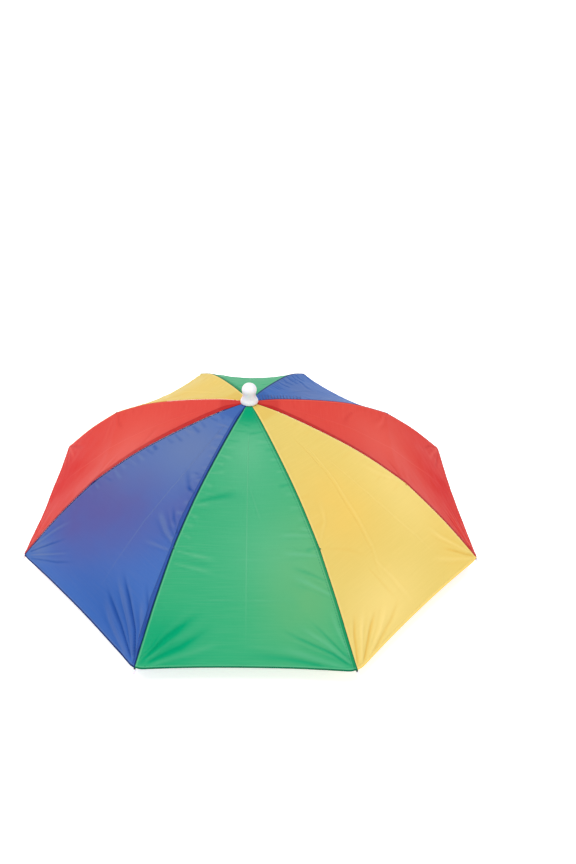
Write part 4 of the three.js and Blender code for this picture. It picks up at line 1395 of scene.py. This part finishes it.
# %% Ribbed elastic
RIB_PITCH = 0.96 * MM
WEFT_PITCH = 0.7 * MM


def ribbed_elastic():
    kit = Kit("ribbed_elastic")
    cloth = kit.node("UVMap", settings={"uv_map": "cloth"})
    along, across = (kit.node("SeparateXYZ", cloth, out=index) for index in range(2))
    rib = (across * (2 * math.pi / RIB_PITCH)).math("SINE")
    weft = (along * (2 * math.pi / WEFT_PITCH)).math("SINE")
    fibre = kit.stretched_noise(cloth, (900, 3000, 1), 2)
    rubbed = kit.smooth(kit.stretched_noise(cloth, (30, 90, 1), 3), 0.5, 0.75)
    colour = kit.blend(kit.smooth(rib + 0.6 * fibre, -0.6, 1.0), dye(12, 11, 11), dye(38, 35, 33))
    colour = kit.blend(rubbed * 0.5, colour, dye(58, 48, 42))
    rough = kit.smooth(fibre, 0.3, 0.7, 0.5, 0.7)
    relief = rib + 0.25 * weft + 0.6 * fibre
    sheen = {"Sheen_Weight": 0.15, "Sheen_Roughness": 0.5}
    return kit.finish(kit.skin(colour, rough, relief, 0.8, 0.22 * MM, **sheen))


elastic = ribbed_elastic()
dress(band, elastic, "black_elastic", "headband")
print("ribs across the band:", round(BAND_WIDTH / RIB_PITCH))

# %% [markdown]
# The band's ends overlap between two loops. The outer end is a short piece of the same course, a
# little further out, and four bars of brown stitches go through both and show on both faces.

# %% The overlap where the band is sewn
OVERLAP_STEPS = 21
OVERLAP_OUT = 1.35 * MM
OVERLAP_INSET = 0.4 * MM
OVERLAP_LOW = BAND_LOW + OVERLAP_INSET
OVERLAP_HIGH = BAND_LOW + BAND_WIDTH - OVERLAP_INSET
# Each bar's step along the overlap, and how far out its stitches lie on the two faces
BARS = {"a": 2, "b": 4, "c": -3, "d": -5}
BAR_FACES = {"": OVERLAP_OUT + BAND_WALL / 2, "_in": -BAND_WALL / 2}
BAR_PITCH = 2.2 * MM
first = (CORNER_STEPS - OVERLAP_STEPS + 1) // 2
overlap_part = slice(first, first + OVERLAP_STEPS)
places = band_places(OVERLAP_LOW, OVERLAP_HIGH, OVERLAP_OUT)[:, overlap_part]
overlap, row, column = shaped_grid("band_overlap", places[::-1])
add_map(overlap, "cloth", (passed[None, overlap_part], band_height), row, column)
thicken_band(overlap)
dress(overlap, elastic, "black_elastic")
brown = thread("brown_thread", dye(140, 104, 52), dye(96, 68, 36))
for bar, step in BARS.items():
    for face, offset in BAR_FACES.items():
        lines = band_places(OVERLAP_LOW, OVERLAP_HIGH, offset)[1:-1, overlap_part]
        stitches = stitch_run("bar_stitches_" + bar + face, lines[:, step], BAR_PITCH)
        dress(stitches, brown, "black_elastic")
print("bars of stitches:", len(BARS) * len(BAR_FACES))

# %% [markdown]
# ## Floor and light
# The hat stands on a white floor that runs out of sight, as in a catalogue. A floor that glows a
# little by itself keeps the shadow under the hat faint without washing out the folds.

# %% Floor
FLOOR_SIZE = 600
FLOOR_GLOW = 0.6


def glowing_floor():
    kit = Kit("pale_floor")
    pale = kit.blend(kit.noise(kit.place(), 3), dye(250, 250, 250), dye(247, 247, 247))
    plain = {"Roughness": 0.9, "Specular_IOR_Level": 0.1, "Emission_Strength": FLOOR_GLOW}
    return kit.finish(kit.node("BsdfPrincipled", Base_Color=pale, Emission_Color=pale, **plain))


deselect()
bpy.ops.mesh.primitive_plane_add(size=FLOOR_SIZE)
floor = bpy.context.object
floor.name = "floor"
floor.data.materials.append(glowing_floor())
print("floor laid")

# %% [markdown]
# The light from above is wide and does most of the work. A weaker, warmer one from the right gives
# the folds their shape, a cool one from the left lifts the blue side, and a white world fills in.
# The Standard view shows the dyes as they were mixed.

# %% Lights
SKY = 0.55
world = bpy.data.worlds.new("studio")
world.use_nodes = True
world.node_tree.nodes["Background"].inputs["Color"].default_value = (1, 1, 1, 1)
world.node_tree.nodes["Background"].inputs["Strength"].default_value = SKY
bpy.context.scene.world = world
bpy.context.scene.view_settings.view_transform = "Standard"


def sky_light(name, lean, spread, power, colour):
    """A wide distant light. Lean is where it comes from, as right, back and up; spread is in
    degrees."""
    deselect()
    bpy.ops.object.light_add(type="SUN", location=lean)
    light = bpy.context.object
    light.name = name
    light.data.angle = math.radians(spread)
    light.data.energy = power
    light.data.color = colour
    light.rotation_euler = Vector(lean).to_track_quat("Z", "Y").to_euler()


sky_light("overhead", (-0.14, -0.04, 1), spread=32, power=2.0, colour=(1, 1, 1))
sky_light("right_side", (0.9, -0.8, 0.9), spread=50, power=0.35, colour=(1, 0.96, 0.9))
sky_light("left_side", (-0.9, -0.7, 0.8), spread=50, power=0.25, colour=(0.93, 0.97, 1))
